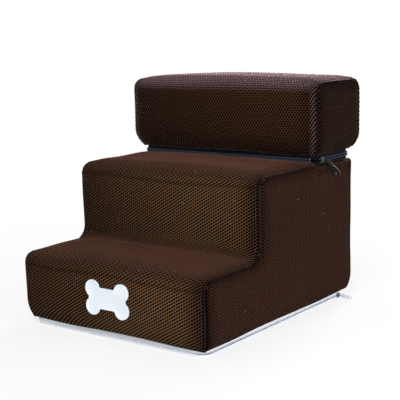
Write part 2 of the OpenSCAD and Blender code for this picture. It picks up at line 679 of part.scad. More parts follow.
module upper_left_panel() {
    mirror([1, 0, 0]) upper_right_panel();
}

// Plain cloth under the upper block: flat where it rests, raised to the zip all round
module upper_bottom_panel() {
    half = core_w / 2;
    y0 = zip_y + tape_t + join_tape_gap;
    y2 = core_y2;
    corner = join_corner_r + join_tape_gap;
    soft_shares = [0, 0.15, corner / soft_edge_w, 0.7, 1];
    function soft_lines(a, b, n) = concat([for (s = soft_shares) a + s * soft_edge_w],
        spaced(a + soft_edge_w, b - soft_edge_w, n),
        [for (k = [1 : len(soft_shares) - 1]) b - reversed(soft_shares)[k] * soft_edge_w]);
    xs = soft_lines(-half, half, 3);
    ys = soft_lines(y0, y2, 2);
    function lift(d) = pow(1 - clamp_share(d / soft_edge_w), 2);
    function low(x, y) =
        let (a = lift(half - abs(x)), b = max(lift(y - y0), lift(y2 - y)))
        rest_z + (join_top_z - cloth_t - cover_gap - rest_z) * (1 - (1 - a) * (1 - b));
    function eased(p) =
        let (sx = sign(p[0]), sy = sign(p[1] - (y0 + y2) / 2),
            m = [sx * (half - corner), (y0 + y2) / 2 + sy * ((y2 - y0) / 2 - corner)])
        rounded(p, m, sx, sy, corner);
    function sheet(lift_z) = [for (y = ys) [for (x = xs)
        let (q = eased([x, y])) [q[0], q[1], low(x, y) + lift_z]]];
    color(mesh_brown) padded_panel(sheet(cloth_t), sheet(0));
}

lower_foam_core();
step_panel();
left_side_panel();
right_side_panel();
lower_back_panel();
deck_panel();
base_panel();
bone_badge();
base_zip_floor_tape();
base_zip_cover_tape();
base_zip_floor_coil();
base_zip_cover_coil();
base_zip_slider();
base_zip_pull();
base_zip_stops();
join_zip_lower_tape();
join_zip_lower_coil();
join_zip_lower_stop();
join_zip_slider();
join_zip_pull();
upper_foam_core();
upper_wrap_panel();
upper_left_panel();
upper_right_panel();
upper_bottom_panel();
join_zip_upper_tape();
join_zip_upper_coil();
join_zip_upper_stop();
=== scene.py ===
"""Foam stairs for a pet: a lower block with two steps, and an upper block that a zip joins to it.

Metres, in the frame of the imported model: the origin is on the floor under the middle of the
lower block, +Z is up, the front faces -Y and +X is on the right as one faces the front.
"""
import logging
import math
from dataclasses import dataclass, field
from enum import Enum
from functools import cache

import bmesh
import bpy
import numpy as np
from bmesh.types import BMesh, BMFace, BMVert
from bpy.types import ID, Material, Mesh, Node, NodeSocket, NodeTree, Object
from mathutils import Matrix, Vector


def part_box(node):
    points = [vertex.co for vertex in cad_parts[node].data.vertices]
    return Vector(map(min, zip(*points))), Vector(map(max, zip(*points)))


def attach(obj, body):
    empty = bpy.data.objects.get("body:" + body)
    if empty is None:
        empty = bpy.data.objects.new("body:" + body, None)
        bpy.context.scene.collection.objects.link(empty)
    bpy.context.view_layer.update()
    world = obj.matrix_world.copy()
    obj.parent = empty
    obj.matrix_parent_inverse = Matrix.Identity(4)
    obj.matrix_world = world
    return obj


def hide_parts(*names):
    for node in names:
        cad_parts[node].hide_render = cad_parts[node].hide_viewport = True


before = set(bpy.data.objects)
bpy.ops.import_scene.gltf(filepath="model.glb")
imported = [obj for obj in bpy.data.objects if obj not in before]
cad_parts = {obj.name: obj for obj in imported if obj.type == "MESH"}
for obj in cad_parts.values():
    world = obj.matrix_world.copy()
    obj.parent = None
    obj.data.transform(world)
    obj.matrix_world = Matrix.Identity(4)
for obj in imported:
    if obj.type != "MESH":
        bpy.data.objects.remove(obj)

LOG = logging.getLogger("pet_stairs")
Points = np.ndarray
Spot = tuple[float, float]
Place = tuple[float, float, float]
Colour = tuple[float, float, float, float]
Sockets = dict[str, NodeSocket]


# Finishes


def srgb(red: int, green: int, blue: int) -> Colour:
    """Gives the linear colour of three screen values from 0 to 255."""
    parts = [value / 255 for value in (red, green, blue)]
    return (*(p / 12.92 if p <= 0.04045 else ((p + 0.055) / 1.055) ** 2.4 for p in parts), 1.0)


class Effect(Enum):
    """The effects that several finishes share, by the names of their node groups."""

    MOTTLE = "cloth_mottle"
    WEAVE = "plain_weave"
    LINT = "lint_specks"
    HANDLING = "handling_marks"


class Bench:
    """Adds and links the nodes of one tree."""

    def __init__(self, tree: NodeTree) -> None:
        """Takes the tree to work on."""
        self.tree = tree

    def add(self, kind: str, inputs: dict[str | int, object] | None = None,
            **settings: object) -> Node:
        """Adds a node.

        Args:
            kind: The node's type.
            inputs: Sockets to link, or values to set, by the name or number of the input.
            **settings: Properties of the node.

        Returns:
            The node.
        """
        node = self.tree.nodes.new(kind)
        for name, value in settings.items():
            setattr(node, name, value)
        for key, value in (inputs or {}).items():
            if isinstance(value, NodeSocket):
                self.tree.links.new(value, node.inputs[key])
            else:
                node.inputs[key].default_value = value
        return node

    def math(self, operation: str, first: object, second: object = 0.0) -> NodeSocket:
        """Adds a sum of two sockets or numbers and returns its result."""
        return self.add("ShaderNodeMath", {0: first, 1: second}, operation=operation).outputs[0]

    def times(self, first: object, second: object) -> NodeSocket:
        """Multiplies two sockets or numbers and returns the result."""
        return self.math("MULTIPLY", first, second)

    def tint(self, share: object, first: object, second: object,
             mode: str = "MIX") -> NodeSocket:
        """Mixes two colours by a share and returns the result."""
        return self.add("ShaderNodeMix", {0: share, 6: first, 7: second}, data_type="RGBA",
                        blend_type=mode).outputs[2]

    def shaded(self, colour: object, shade: NodeSocket) -> NodeSocket:
        """Multiplies a colour by a shade and returns the result."""
        grey = self.add("ShaderNodeCombineColor", {0: shade, 1: shade, 2: shade}).outputs[0]
        return self.tint(1.0, colour, grey, "MULTIPLY")

    def rescale(self, value: object, low: float, high: float, to_low: float = 0.0,
                to_high: float = 1.0) -> NodeSocket:
        """Maps a value from one range to another, held inside it, and returns the result."""
        return self.add("ShaderNodeMapRange", {0: value, 1: low, 2: high, 3: to_low, 4: to_high}
                        ).outputs[0]

    def stretched(self, place: NodeSocket, scale: Place) -> NodeSocket:
        """Scales a place, to stretch a pattern, and returns the result."""
        return self.add("ShaderNodeMapping", {"Vector": place, "Scale": scale}).outputs[0]

    def noise(self, place: NodeSocket, scale: object, detail: float) -> NodeSocket:
        """Adds noise and returns its value."""
        return self.add("ShaderNodeTexNoise", {"Vector": place, "Scale": scale, "Detail": detail}
                        ).outputs[0]

    def attribute(self, name: str, kind: str = "Fac") -> NodeSocket:
        """Gives the number that the mesh carries at each point, or the place as a Vector."""
        return self.add("ShaderNodeAttribute", attribute_name=name).outputs[kind]

    def bump(self, height: NodeSocket, distance: float, strength: float) -> NodeSocket:
        """Turns a height into a normal."""
        return self.add("ShaderNodeBump", {"Height": height, "Distance": distance,
                                           "Strength": strength}).outputs[0]

    def effect(self, effect: Effect, place: NodeSocket, **numbers: float) -> Sockets:
        """Puts a shared effect into the tree and gives its outputs by name."""
        node = self.add("ShaderNodeGroup", {"Place": place, **numbers}, node_tree=group_of(effect))
        return {socket.name: socket for socket in node.outputs}

    def mottle(self, place: NodeSocket, scale: float, depth: float) -> NodeSocket:
        """Gives a soft uneven shade."""
        return self.effect(Effect.MOTTLE, place, Scale=scale, Depth=depth)["Shade"]

    def lint(self, place: NodeSocket, scale: float, share: float) -> NodeSocket:
        """Gives a mask of sparse small specks."""
        return self.effect(Effect.LINT, place, Scale=scale, Share=share)["Mask"]


def mottle_nodes(bench: Bench, source: Sockets) -> Sockets:
    """Soft uneven shade: 1 on average, up and down by the depth.

    Args:
        bench: The group's bench.
        source: What goes into the group, by name.

    Returns:
        What comes out of the group, by name.
    """
    noise = bench.noise(source["Place"], source["Scale"], 3.0)
    off = bench.times(bench.math("SUBTRACT", noise, 0.5), source["Depth"])
    return {"Shade": bench.math("ADD", bench.times(off, 2.0), 1.0)}


def weave_nodes(bench: Bench, source: Sockets) -> Sockets:
    """Threads over and under each other, by place on the cloth and threads per metre.

    Args:
        bench: The group's bench.
        source: What goes into the group, by name.

    Returns:
        What comes out of the group, by name.
    """
    split = bench.add("ShaderNodeSeparateXYZ", {0: source["Place"]}).outputs
    lines = [bench.times(split[k], source["Threads"]) for k in (0, 1)]
    humps = [bench.math("ABSOLUTE", bench.math("SINE", bench.times(line, math.pi)))
             for line in lines]
    floors = [bench.math("FLOOR", line) for line in lines]
    over = bench.math("PINGPONG", bench.math("ADD", *floors), 1.0)
    under = bench.math("SUBTRACT", 1.0, over)
    height = bench.math("ADD", bench.times(humps[0], over), bench.times(humps[1], under))
    return {"Height": height,
            "Gap": bench.times(*(bench.math("SUBTRACT", 1.0, hump) for hump in humps))}


def lint_nodes(bench: Bench, source: Sockets) -> Sockets:
    """Sparse small specks, whose number grows with the share.

    Args:
        bench: The group's bench.
        source: What goes into the group, by name.

    Returns:
        What comes out of the group, by name.
    """
    cells = bench.add("ShaderNodeTexVoronoi", {"Vector": source["Place"],
                                               "Scale": source["Scale"]}).outputs
    small = bench.rescale(cells["Distance"], 0.1, 0.2, 1.0, 0.0)
    chance = bench.add("ShaderNodeSeparateColor", {0: cells["Color"]}).outputs[0]
    return {"Mask": bench.times(small, bench.math("LESS_THAN", chance, source["Share"]))}


def handling_nodes(bench: Bench, source: Sockets) -> Sockets:
    """Faint smears and fine scratches of use.

    Args:
        bench: The group's bench.
        source: What goes into the group, by name.

    Returns:
        What comes out of the group, by name.
    """
    broad = bench.noise(source["Place"], source["Scale"], 4.0)
    thin = bench.noise(bench.stretched(source["Place"], (1.0, 14.0, 3.0)), source["Scale"], 2.0)
    return {"Mask": bench.rescale(broad, 0.4, 0.62), "Height": thin}


@cache
def group_of(effect: Effect) -> NodeTree:
    """Makes the node group of an effect, once.

    Args:
        effect: The effect.

    Returns:
        The group, which takes a place and some numbers and gives numbers.
    """
    numbers, fill = {
        Effect.MOTTLE: (("Scale", "Depth"), mottle_nodes),
        Effect.WEAVE: (("Threads",), weave_nodes),
        Effect.LINT: (("Scale", "Share"), lint_nodes),
        Effect.HANDLING: (("Scale",), handling_nodes),
    }[effect]
    tree = bpy.data.node_groups.new(effect.value, "ShaderNodeTree")
    tree.interface.new_socket("Place", in_out="INPUT", socket_type="NodeSocketVector")
    for name in numbers:
        tree.interface.new_socket(name, in_out="INPUT", socket_type="NodeSocketFloat")
    bench = Bench(tree)
    results = fill(bench, {socket.name: socket for socket in bench.add("NodeGroupInput").outputs})
    for name in results:
        tree.interface.new_socket(name, in_out="OUTPUT", socket_type="NodeSocketFloat")
    bench.add("NodeGroupOutput", results)
    return tree


@dataclass(frozen=True)
class Finish:
    """A finish that several pieces wear, and the record's slot for it."""

    name: str
    slot: str
    colour: Colour

    @cache
    def material(self) -> Material:
        """Gives the material, made at its first use.

        Returns:
            The material.
        """
        material = bpy.data.materials.new(self.name)
        material.use_nodes = True
        material.node_tree.nodes.clear()
        bench = Bench(material.node_tree)
        place = bench.add("ShaderNodeTexCoord").outputs["Object"]
        shader = bench.add("ShaderNodeBsdfPrincipled", self.sockets(bench, place)).outputs[0]
        bench.add("ShaderNodeOutputMaterial", {"Surface": self.surface(bench, place, shader)})
        return material

    def sockets(self, bench: Bench, place: NodeSocket) -> dict[str, object]:
        """Lays the nodes of this kind of finish and gives what goes into the shader."""
        raise NotImplementedError

    def surface(self, bench: Bench, place: NodeSocket, shader: NodeSocket) -> NodeSocket:
        """Gives the surface: the shader alone, unless this kind adds something."""
        return shader


@dataclass(frozen=True)
class PaddedMeshFinish(Finish):
    """Knitted mesh with staggered holes: ribs, the walls of the holes and what lies below."""

    olive: Colour
    brushed: Colour
    wall: Colour
    deep: Colour
    hem: Colour
    sheen: float

    def sockets(self, bench: Bench, place: NodeSocket) -> dict[str, object]:
        """Fine yarn ribs, with painted front light and sheen, and painted shade in folds and
        holes.

        Args:
            bench: The material's bench.
            place: The place on the object.

        Returns:
            What goes into the shader, by the name of its input.
        """
        fine = bench.mottle(place, scale=1500.0, depth=0.3)
        shade = bench.times(bench.mottle(place, scale=9.0, depth=0.22), fine)
        lint = bench.times(bench.lint(place, scale=130.0, share=0.012), 0.35)
        pit, seam = bench.attribute("pit"), bench.attribute("seam")
        # Painted front light: golden, lighter ribs where the cover faces the front.
        colour = bench.tint(bench.attribute("olive"), self.colour, self.olive)
        # Painted sheen: paler ribs where the cloth lies level and where it rolls over to a seam.
        colour = bench.tint(bench.attribute("brushed"), colour, self.brushed)
        # Darker on the seams' lines and a little near every edge; in the folds this is painted
        # shade.
        colour = bench.tint(bench.rescale(seam, 0.0, 1.0, 0.8, 0.0), colour, self.hem)
        # Painted shade down the walls of the holes, near black at their bottoms.
        colour = bench.tint(bench.rescale(pit, 0.0, 0.06), colour, self.wall)
        colour = bench.tint(bench.rescale(pit, 0.06, 0.35), colour, self.deep)
        drawn = bench.stretched(bench.attribute("flat", "Vector"), (1.0, 0.35, 1.0))
        yarn = bench.noise(drawn, scale=2600.0, detail=2.0)
        return {"Base Color": bench.tint(lint, bench.shaded(colour, shade), srgb(150, 135, 120)),
                "Roughness": bench.rescale(fine, 0.7, 1.3, 0.62, 0.85),
                "Normal": bench.bump(yarn, distance=0.00025, strength=0.5),
                "Specular IOR Level": 0.03, "Sheen Weight": self.sheen, "Sheen Roughness": 0.2,
                "Sheen Tint": srgb(240, 205, 210)}


@dataclass(frozen=True)
class WovenFinish(Finish):
    """Plain woven cloth or zip tape."""

    threads: float
    gap: Colour
    roughness: float = 0.8
    gloss: float = 0.35
    sheen: float = 0.1
    lint: float = 0.3

    def sockets(self, bench: Bench, place: NodeSocket) -> dict[str, object]:
        """Threads with darker gaps between them, a little uneven and a little dusty.

        Args:
            bench: The material's bench.
            place: The place on the object.

        Returns:
            What goes into the shader, by the name of its input.
        """
        weave = bench.effect(Effect.WEAVE, bench.attribute("flat", "Vector"),
                             Threads=self.threads)
        lint = bench.times(bench.lint(place, scale=160.0, share=0.02), self.lint)
        colour = bench.tint(bench.times(weave["Gap"], 0.7), self.colour, self.gap)
        colour = bench.shaded(colour, bench.mottle(place, scale=30.0, depth=0.1))
        return {"Base Color": bench.tint(lint, colour, srgb(160, 155, 150)),
                "Roughness": bench.rescale(weave["Height"], 0.0, 1.0, self.roughness,
                                           self.roughness - 0.2),
                "Normal": bench.bump(weave["Height"], distance=0.00015, strength=0.6),
                "Specular IOR Level": self.gloss, "Sheen Weight": self.sheen}


@dataclass(frozen=True)
class NylonFinish(Finish):
    """Glossy nylon wire of a zip's coil."""

    roughness: float
    gloss: float

    def sockets(self, bench: Bench, place: NodeSocket) -> dict[str, object]:
        """Smooth wire, slightly uneven in colour, with faint drawing marks.

        Args:
            bench: The material's bench.
            place: The place on the object.

        Returns:
            What goes into the shader, by the name of its input.
        """
        marks = bench.effect(Effect.HANDLING, place, Scale=900.0)
        shade = bench.mottle(place, scale=70.0, depth=0.2)
        return {"Base Color": bench.shaded(self.colour, shade),
                "Roughness": bench.rescale(marks["Mask"], 0.0, 1.0, self.roughness,
                                           self.roughness + 0.15),
                "Normal": bench.bump(marks["Height"], distance=0.00004, strength=0.4),
                "Specular IOR Level": self.gloss}


@dataclass(frozen=True)
class HardFinish(Finish):
    """Metal, enamel or moulded plastic, with marks of handling and worn edges."""

    metallic: float
    roughness: float
    edge: Colour
    coat: float = 0.0

    def sockets(self, bench: Bench, place: NodeSocket) -> dict[str, object]:
        """Smears change the gloss, and the convex edges are worn to another colour.

        Args:
            bench: The material's bench.
            place: The place on the object.

        Returns:
            What goes into the shader, by the name of its input.
        """
        marks = bench.effect(Effect.HANDLING, place, Scale=220.0)
        convex = bench.add("ShaderNodeNewGeometry").outputs["Pointiness"]
        worn = bench.times(bench.times(bench.rescale(convex, 0.53, 0.62), 0.6), marks["Mask"])
        colour = bench.tint(worn, self.colour, self.edge)
        return {"Base Color": bench.shaded(colour, bench.mottle(place, scale=60.0, depth=0.06)),
                "Roughness": bench.rescale(marks["Mask"], 0.0, 1.0, self.roughness,
                                           self.roughness + 0.14),
                "Normal": bench.bump(marks["Height"], distance=0.00003, strength=0.35),
                "Metallic": self.metallic, "Coat Weight": self.coat, "Coat Roughness": 0.15}


@dataclass(frozen=True)
class FoamFinish(Finish):
    """Open-cell foam."""

    pore: Colour

    def sockets(self, bench: Bench, place: NodeSocket) -> dict[str, object]:
        """Fine pores in a soft, slightly yellowed block.

        Args:
            bench: The material's bench.
            place: The place on the object.

        Returns:
            What goes into the shader, by the name of its input.
        """
        cells = bench.add("ShaderNodeTexVoronoi", {"Vector": place, "Scale": 900.0}).outputs[0]
        pores = bench.times(bench.rescale(cells, 0.15, 0.5, 1.0, 0.0), 0.5)
        colour = bench.tint(pores, self.colour, self.pore)
        return {"Base Color": bench.shaded(colour, bench.mottle(place, scale=12.0, depth=0.08)),
                "Normal": bench.bump(cells, distance=0.0006, strength=0.7), "Roughness": 0.95}


@dataclass(frozen=True)
class FloorFinish(Finish):
    """The studio's floor, which fades to white away from the stairs."""

    glow: float
    near: float = 0.3
    far: float = 0.9

    def sockets(self, bench: Bench, place: NodeSocket) -> dict[str, object]:
        """A pale matt floor, very slightly uneven.

        Args:
            bench: The material's bench.
            place: The place on the object.

        Returns:
            What goes into the shader, by the name of its input.
        """
        shade = bench.mottle(place, scale=3.0, depth=0.004)
        return {"Base Color": bench.shaded(self.colour, shade), "Roughness": 0.9,
                "Specular IOR Level": 0.1}

    def surface(self, bench: Bench, place: NodeSocket, shader: NodeSocket) -> NodeSocket:
        """Adds a white glow that only the camera and reflections see.

        Args:
            bench: The material's bench.
            place: The place on the object.
            shader: The floor's shader.

        Returns:
            The shader, with the glow mixed in.
        """
        far = bench.add("ShaderNodeVectorMath", {0: place}, operation="LENGTH").outputs["Value"]
        rays = bench.add("ShaderNodeLightPath").outputs
        seen = bench.math("MAXIMUM", rays["Is Camera Ray"], rays["Is Glossy Ray"])
        white = bench.add("ShaderNodeEmission", {"Strength": 1.0}).outputs[0]
        fade = bench.times(bench.rescale(far, self.near, self.far, self.glow, 1.0), seen)
        return bench.add("ShaderNodeMixShader", {0: fade, 1: shader, 2: white}).outputs[0]


# Each has colours for painted front light, painted sheen, the seams' dark line with painted fold
# shade, and painted shade in the holes.
# The sides, ends and upper wrap wear darker copies of the steps' mesh: painted shade.
STEP_MESH = PaddedMeshFinish("brown_mesh_of_steps", "brown_mesh", srgb(56, 35, 24),
                             olive=srgb(101, 74, 48), brushed=srgb(87, 57, 45),
                             wall=srgb(40, 26, 17), deep=srgb(4, 3, 2), hem=srgb(20, 12, 9),
                             sheen=0.4)
SIDE_MESH = PaddedMeshFinish("brown_mesh_of_sides", "brown_mesh", srgb(52, 31, 20),
                             olive=srgb(52, 31, 20), brushed=srgb(74, 47, 34),
                             wall=srgb(28, 17, 11), deep=srgb(3, 2, 2), hem=srgb(17, 10, 8),
                             sheen=0.2)
WRAP_MESH = PaddedMeshFinish("brown_mesh_of_wrap", "brown_mesh", srgb(46, 29, 19),
                             olive=srgb(66, 43, 27), brushed=srgb(128, 103, 105),
                             wall=srgb(26, 16, 11), deep=srgb(3, 2, 1), hem=srgb(15, 9, 7),
                             sheen=0.9)
END_MESH = PaddedMeshFinish("brown_mesh_of_ends", "brown_mesh", srgb(37, 23, 14),
                            olive=srgb(37, 23, 14), brushed=srgb(56, 38, 29),
                            wall=srgb(21, 13, 9), deep=srgb(3, 2, 1), hem=srgb(13, 8, 6),
                            sheen=0.2)
SEAM_THREAD = WovenFinish("seam_thread", "brown_mesh", srgb(24, 14, 10), threads=2200.0,
                          gap=srgb(8, 5, 4), gloss=0.05, sheen=0.02, lint=0.04)
BLACK_TAPE = WovenFinish("woven_black_tape", "black_tape", srgb(11, 11, 13), threads=1400.0,
                         gap=srgb(2, 2, 3), gloss=0.05, sheen=0.01, lint=0.15)
WHITE_TAPE = WovenFinish("white_tape", "white_tape", srgb(246, 250, 255), threads=1400.0,
                         gap=srgb(214, 224, 238), lint=0.08)
BASE_CLOTH = WovenFinish("base_cloth", "base_cloth", srgb(238, 243, 250), threads=900.0,
                         gap=srgb(184, 192, 204))
DARK_CLOTH = WovenFinish("dark_cloth", "brown_mesh", srgb(46, 30, 24), threads=900.0,
                         gap=srgb(14, 9, 7))
# Darker than the coil looks where lit, along its whole length: painted shade for the run under the
# upper block's front.
GREY_NYLON = NylonFinish("grey_nylon", "grey_nylon", srgb(52, 59, 76), roughness=0.3, gloss=0.2)
WHITE_NYLON = NylonFinish("white_nylon", "white_nylon", srgb(240, 246, 255), roughness=0.35,
                          gloss=0.5)
ZIP_METAL = HardFinish("zip_metal", "zip_metal", srgb(96, 99, 110), metallic=0.9,
                       roughness=0.24, edge=srgb(205, 208, 214))
DARK_METAL = HardFinish("dark_zip_metal", "zip_metal", srgb(34, 34, 40), metallic=0.9,
                        roughness=0.2, edge=srgb(205, 208, 214))
BLACK_ENAMEL = HardFinish("worn_black_enamel", "black_enamel", srgb(9, 7, 7), metallic=0.0,
                          roughness=0.36, edge=srgb(84, 46, 38), coat=0.08)
WHITE_ENAMEL = HardFinish("white_enamel", "white_enamel", srgb(214, 212, 226), metallic=0.0,
                          roughness=0.3, edge=srgb(150, 146, 160), coat=0.3)
BADGE_PLASTIC = HardFinish("badge_plastic", "badge", srgb(230, 240, 249), metallic=0.0,
                           roughness=0.38, edge=srgb(240, 246, 250), coat=0.15)
FOAM = FoamFinish("cream_foam", "foam", srgb(236, 226, 200), pore=srgb(190, 174, 140))
PALE_FLOOR = FloorFinish("pale_floor", "", (0.93, 0.93, 0.93, 1.0), glow=0.72)


# Shapes that all sub-assemblies use


def in_scene(name: str, data: ID) -> Object:
    """Puts new data into the scene and returns its object.

    Args:
        name: The object's name.
        data: Its data.

    Returns:
        The object.
    """
    made = bpy.data.objects.new(name, data)
    bpy.context.scene.collection.objects.link(made)
    return made


def put(name: str, mesh: Mesh, body: str, finish: Finish, *stands_for: str,
        fill: float | None = None) -> Object:
    """Makes a finished piece of a mesh.

    Args:
        name: The piece's name.
        mesh: Its mesh, already in place.
        body: The body it rides on.
        finish: What it wears.
        *stands_for: The nodes it replaces.
        fill: How tight it is stuffed, where it is a pad; not used.

    Returns:
        The piece.
    """
    piece = in_scene(name, mesh)
    mesh.materials.clear()
    mesh.materials.append(finish.material())
    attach(piece, body)
    if stands_for:
        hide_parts(*stands_for)
    LOG.info("%s: %d faces, on %s", name, len(mesh.polygons), body)
    return piece


def flat_shaded(shape: BMesh, name: str) -> Mesh:
    """Turns a bmesh into a mesh and frees it.

    Args:
        shape: The bmesh.
        name: The mesh's name.

    Returns:
        The mesh.
    """
    mesh = bpy.data.meshes.new(name)
    shape.to_mesh(mesh)
    shape.free()
    return mesh


def to_mesh(shape: BMesh, name: str, smooth_angle: float = 0.7) -> Mesh:
    """Turns a bmesh into a mesh, shaded smooth where its faces meet at less than an angle.

    Args:
        shape: The bmesh.
        name: The mesh's name.
        smooth_angle: The angle, in radians.

    Returns:
        The mesh.
    """
    mesh = flat_shaded(shape, name)
    mesh.shade_smooth()
    mesh.set_sharp_from_angle(angle=smooth_angle)
    return mesh


def taken_up(mesh: Mesh) -> BMesh:
    """Turns a mesh back into a bmesh and removes it.

    Args:
        mesh: The mesh, which goes.

    Returns:
        The bmesh.
    """
    shape = bmesh.new()
    shape.from_mesh(mesh)
    bpy.data.meshes.remove(mesh)
    return shape


def solid_of(node: str) -> BMesh:
    """Copies a node's solid, with its doubled points joined.

    Args:
        node: The node's name.

    Returns:
        The copy, as a bmesh.
    """
    shape = bmesh.new()
    shape.from_mesh(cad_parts[node].data)
    bmesh.ops.remove_doubles(shape, verts=shape.verts, dist=1e-6)
    return shape


def joined(parts: list[BMesh]) -> BMesh:
    """Puts several shapes into the first one.

    Args:
        parts: The shapes, of which all but the first are freed.

    Returns:
        The first shape, with the others in it.
    """
    for part in parts[1:]:
        mesh = flat_shaded(part, "part")
        parts[0].from_mesh(mesh)
        bpy.data.meshes.remove(mesh)
    return parts[0]


def points_of(mesh: Mesh) -> Points:
    """Gives the vertices of a mesh as rows.

    Args:
        mesh: The mesh.

    Returns:
        One row for each vertex.
    """
    found = np.empty(len(mesh.vertices) * 3)
    mesh.vertices.foreach_get("co", found)
    return found.reshape(-1, 3)


def measure_points(mesh: Mesh, **measures: Points) -> None:
    """Writes numbers, or places in rows of three, at the points of a mesh.

    Args:
        mesh: The mesh.
        **measures: The values at its points, by the attribute's name.
    """
    for name, values in measures.items():
        kind, key = ("FLOAT_VECTOR", "vector") if values.ndim > 1 else ("FLOAT", "value")
        mesh.attributes.new(name, kind, "POINT").data.foreach_set(key, values.ravel())


def share(value: Points | float, low: float, high: float) -> Points:
    """How far values are from low to high, held between 0 and 1."""
    return np.clip((np.asarray(value, float) - low) / (high - low), 0.0, 1.0)


def roll(distance: Points, radius: float) -> Points:
    """Height of a rolled edge: 0 at the seam and 1 from one radius inwards."""
    return np.sqrt(1.0 - (1.0 - share(distance, 0.0, radius)) ** 2)


def lengths_round(points: Points) -> Points:
    """Gives the length from the first point to each of a loop's points, and right round."""
    steps = np.diff(np.vstack([points, points[:1]]), axis=0)
    return np.concatenate([[0.0], np.cumsum(np.linalg.norm(steps, axis=1))])


def sweep(name: str, section: Points, centres: Points, across: Points, up: Points,
          closed: bool) -> Mesh:
    """Sweeps a closed section along a path.

    Args:
        name: The mesh's name.
        section: The section's corners as rows of two lengths, across and up.
        centres: The path's points.
        across: The direction of the section's first length at each point.
        up: The direction of its second length.
        closed: Whether the path is a loop.

    Returns:
        The mesh, with its place on the flat cloth.
    """
    sides, steps = len(section), len(centres)
    runs = steps if closed else steps - 1
    shape = bmesh.new()
    bmesh.ops.create_grid(shape, x_segments=sides, y_segments=runs, size=0.5)
    lengths, girth = lengths_round(centres), lengths_round(section)
    cloth = shape.verts.layers.float_vector.new("flat")
    for vert in shape.verts:
        i, j = round((vert.co.x + 0.5) * sides), round((vert.co.y + 0.5) * runs)
        a, b = section[i % sides]
        k = j % steps
        vert[cloth] = (girth[i], lengths[j], 0.0)
        vert.co = centres[k] + across[k] * a + up[k] * b
    bmesh.ops.remove_doubles(shape, verts=shape.verts, dist=1e-7)
    if not closed:
        bmesh.ops.holes_fill(shape, edges=[e for e in shape.edges if e.is_boundary], sides=0)
    bmesh.ops.recalc_face_normals(shape, faces=shape.faces)
    return to_mesh(shape, name)


def upwards(count: int) -> Points:
    """Gives the direction +Z for a number of points."""
    return np.tile([0.0, 0.0, 1.0], (count, 1))


def ring(radius: float, sides: int) -> Points:
    """Corners of a round section."""
    angle = np.arange(sides) * 2 * math.pi / sides
    return radius * np.stack([np.cos(angle), np.sin(angle)], axis=1)


def directions(path: Points, closed: bool) -> Points:
    """Unit directions along a path.

    Args:
        path: Its points as rows.
        closed: Whether it is a loop.

    Returns:
        The direction at each point.
    """
    if closed:
        step = np.roll(path, -1, axis=0) - np.roll(path, 1, axis=0)
    else:
        step = np.gradient(path, axis=0)
    return step / np.maximum(np.linalg.norm(step, axis=1, keepdims=True), 1e-12)


def cord(name: str, path: Points, radius: float, sides: int, closed: bool = False,
         hint: Place = (0.0, 0.0, 1.0)) -> Mesh:
    """Sweeps a round section along a path, with its up side near a hint such as +Z.

    Args:
        name: The mesh's name.
        path: The path's points.
        radius: Radius of the section.
        sides: Sides of the section.
        closed: Whether the path is a loop.
        hint: Roughly the up side.

    Returns:
        The mesh.
    """
    along = directions(path, closed)
    across = np.cross(along, np.broadcast_to(np.array(hint), along.shape))
    across /= np.maximum(np.linalg.norm(across, axis=1, keepdims=True), 1e-9)
    return sweep(name, ring(radius, sides), path, across, np.cross(across, along), closed)


def thicken(shape: BMesh) -> tuple[list[BMVert], list[BMFace]]:
    """Extrudes a flat sheet to a slab and gives its new points and faces, still in place."""
    grown = bmesh.ops.extrude_face_region(shape, geom=shape.faces[:])["geom"]
    return tuple([g for g in grown if isinstance(g, kind)] for kind in (BMVert, BMFace))


def slab(shape: BMesh) -> list[BMFace]:
    """Makes a sheet a slab, marks its old side by a height of -1 and gives its new faces.

    Args:
        shape: The flat sheet, which is changed.

    Returns:
        The faces of its new side.
    """
    points, faces = thicken(shape)
    for vert in set(shape.verts) - set(points):
        vert.co.z = -1.0
    return faces


def soften(shape: BMesh, radius: float, segments: int = 2, angle: float = 0.6) -> None:
    """Rounds all edges of a shape that are sharper than an angle.

    Args:
        shape: The shape, which is changed.
        radius: How far the rounding reaches from each edge.
        segments: Steps of the rounding.
        angle: The angle, in radians.
    """
    shape.normal_update()
    sharp = [e for e in shape.edges if e.is_manifold and e.calc_face_angle(0.0) > angle]
    if sharp:
        bmesh.ops.bevel(shape, geom=sharp, offset=radius, affect="EDGES", segments=segments,
                        profile=0.5, material=-1, clamp_overlap=True)


def plate(outlines: list[Points], thickness: float, bevel: float, place: Matrix,
          segments: int = 2) -> BMesh:
    """Makes a flat plate with round edges.

    Args:
        outlines: The outer outline, and any holes, as rows of two lengths.
        thickness: How thick it is, from its plane upwards.
        bevel: Radius of its edges.
        place: Where it goes.
        segments: Steps of the round edges.

    Returns:
        The plate as a bmesh.
    """
    shape = bmesh.new()
    edges = []
    for outline in outlines:
        made = bmesh.ops.create_circle(shape, segments=len(outline), radius=1.0)["verts"]
        for vert, spot in zip(made, outline):
            vert.co = (*spot, 0.0)
        edges += list({edge for vert in made for edge in vert.link_edges})
    bmesh.ops.triangle_fill(shape, edges=edges, use_beauty=True)
    bmesh.ops.recalc_face_normals(shape, faces=shape.faces)
    bmesh.ops.translate(shape, verts=thicken(shape)[0], vec=(0.0, 0.0, thickness))
    bmesh.ops.recalc_face_normals(shape, faces=shape.faces)
    soften(shape, bevel, segments)
    bmesh.ops.transform(shape, matrix=place, verts=shape.verts)
    return shape


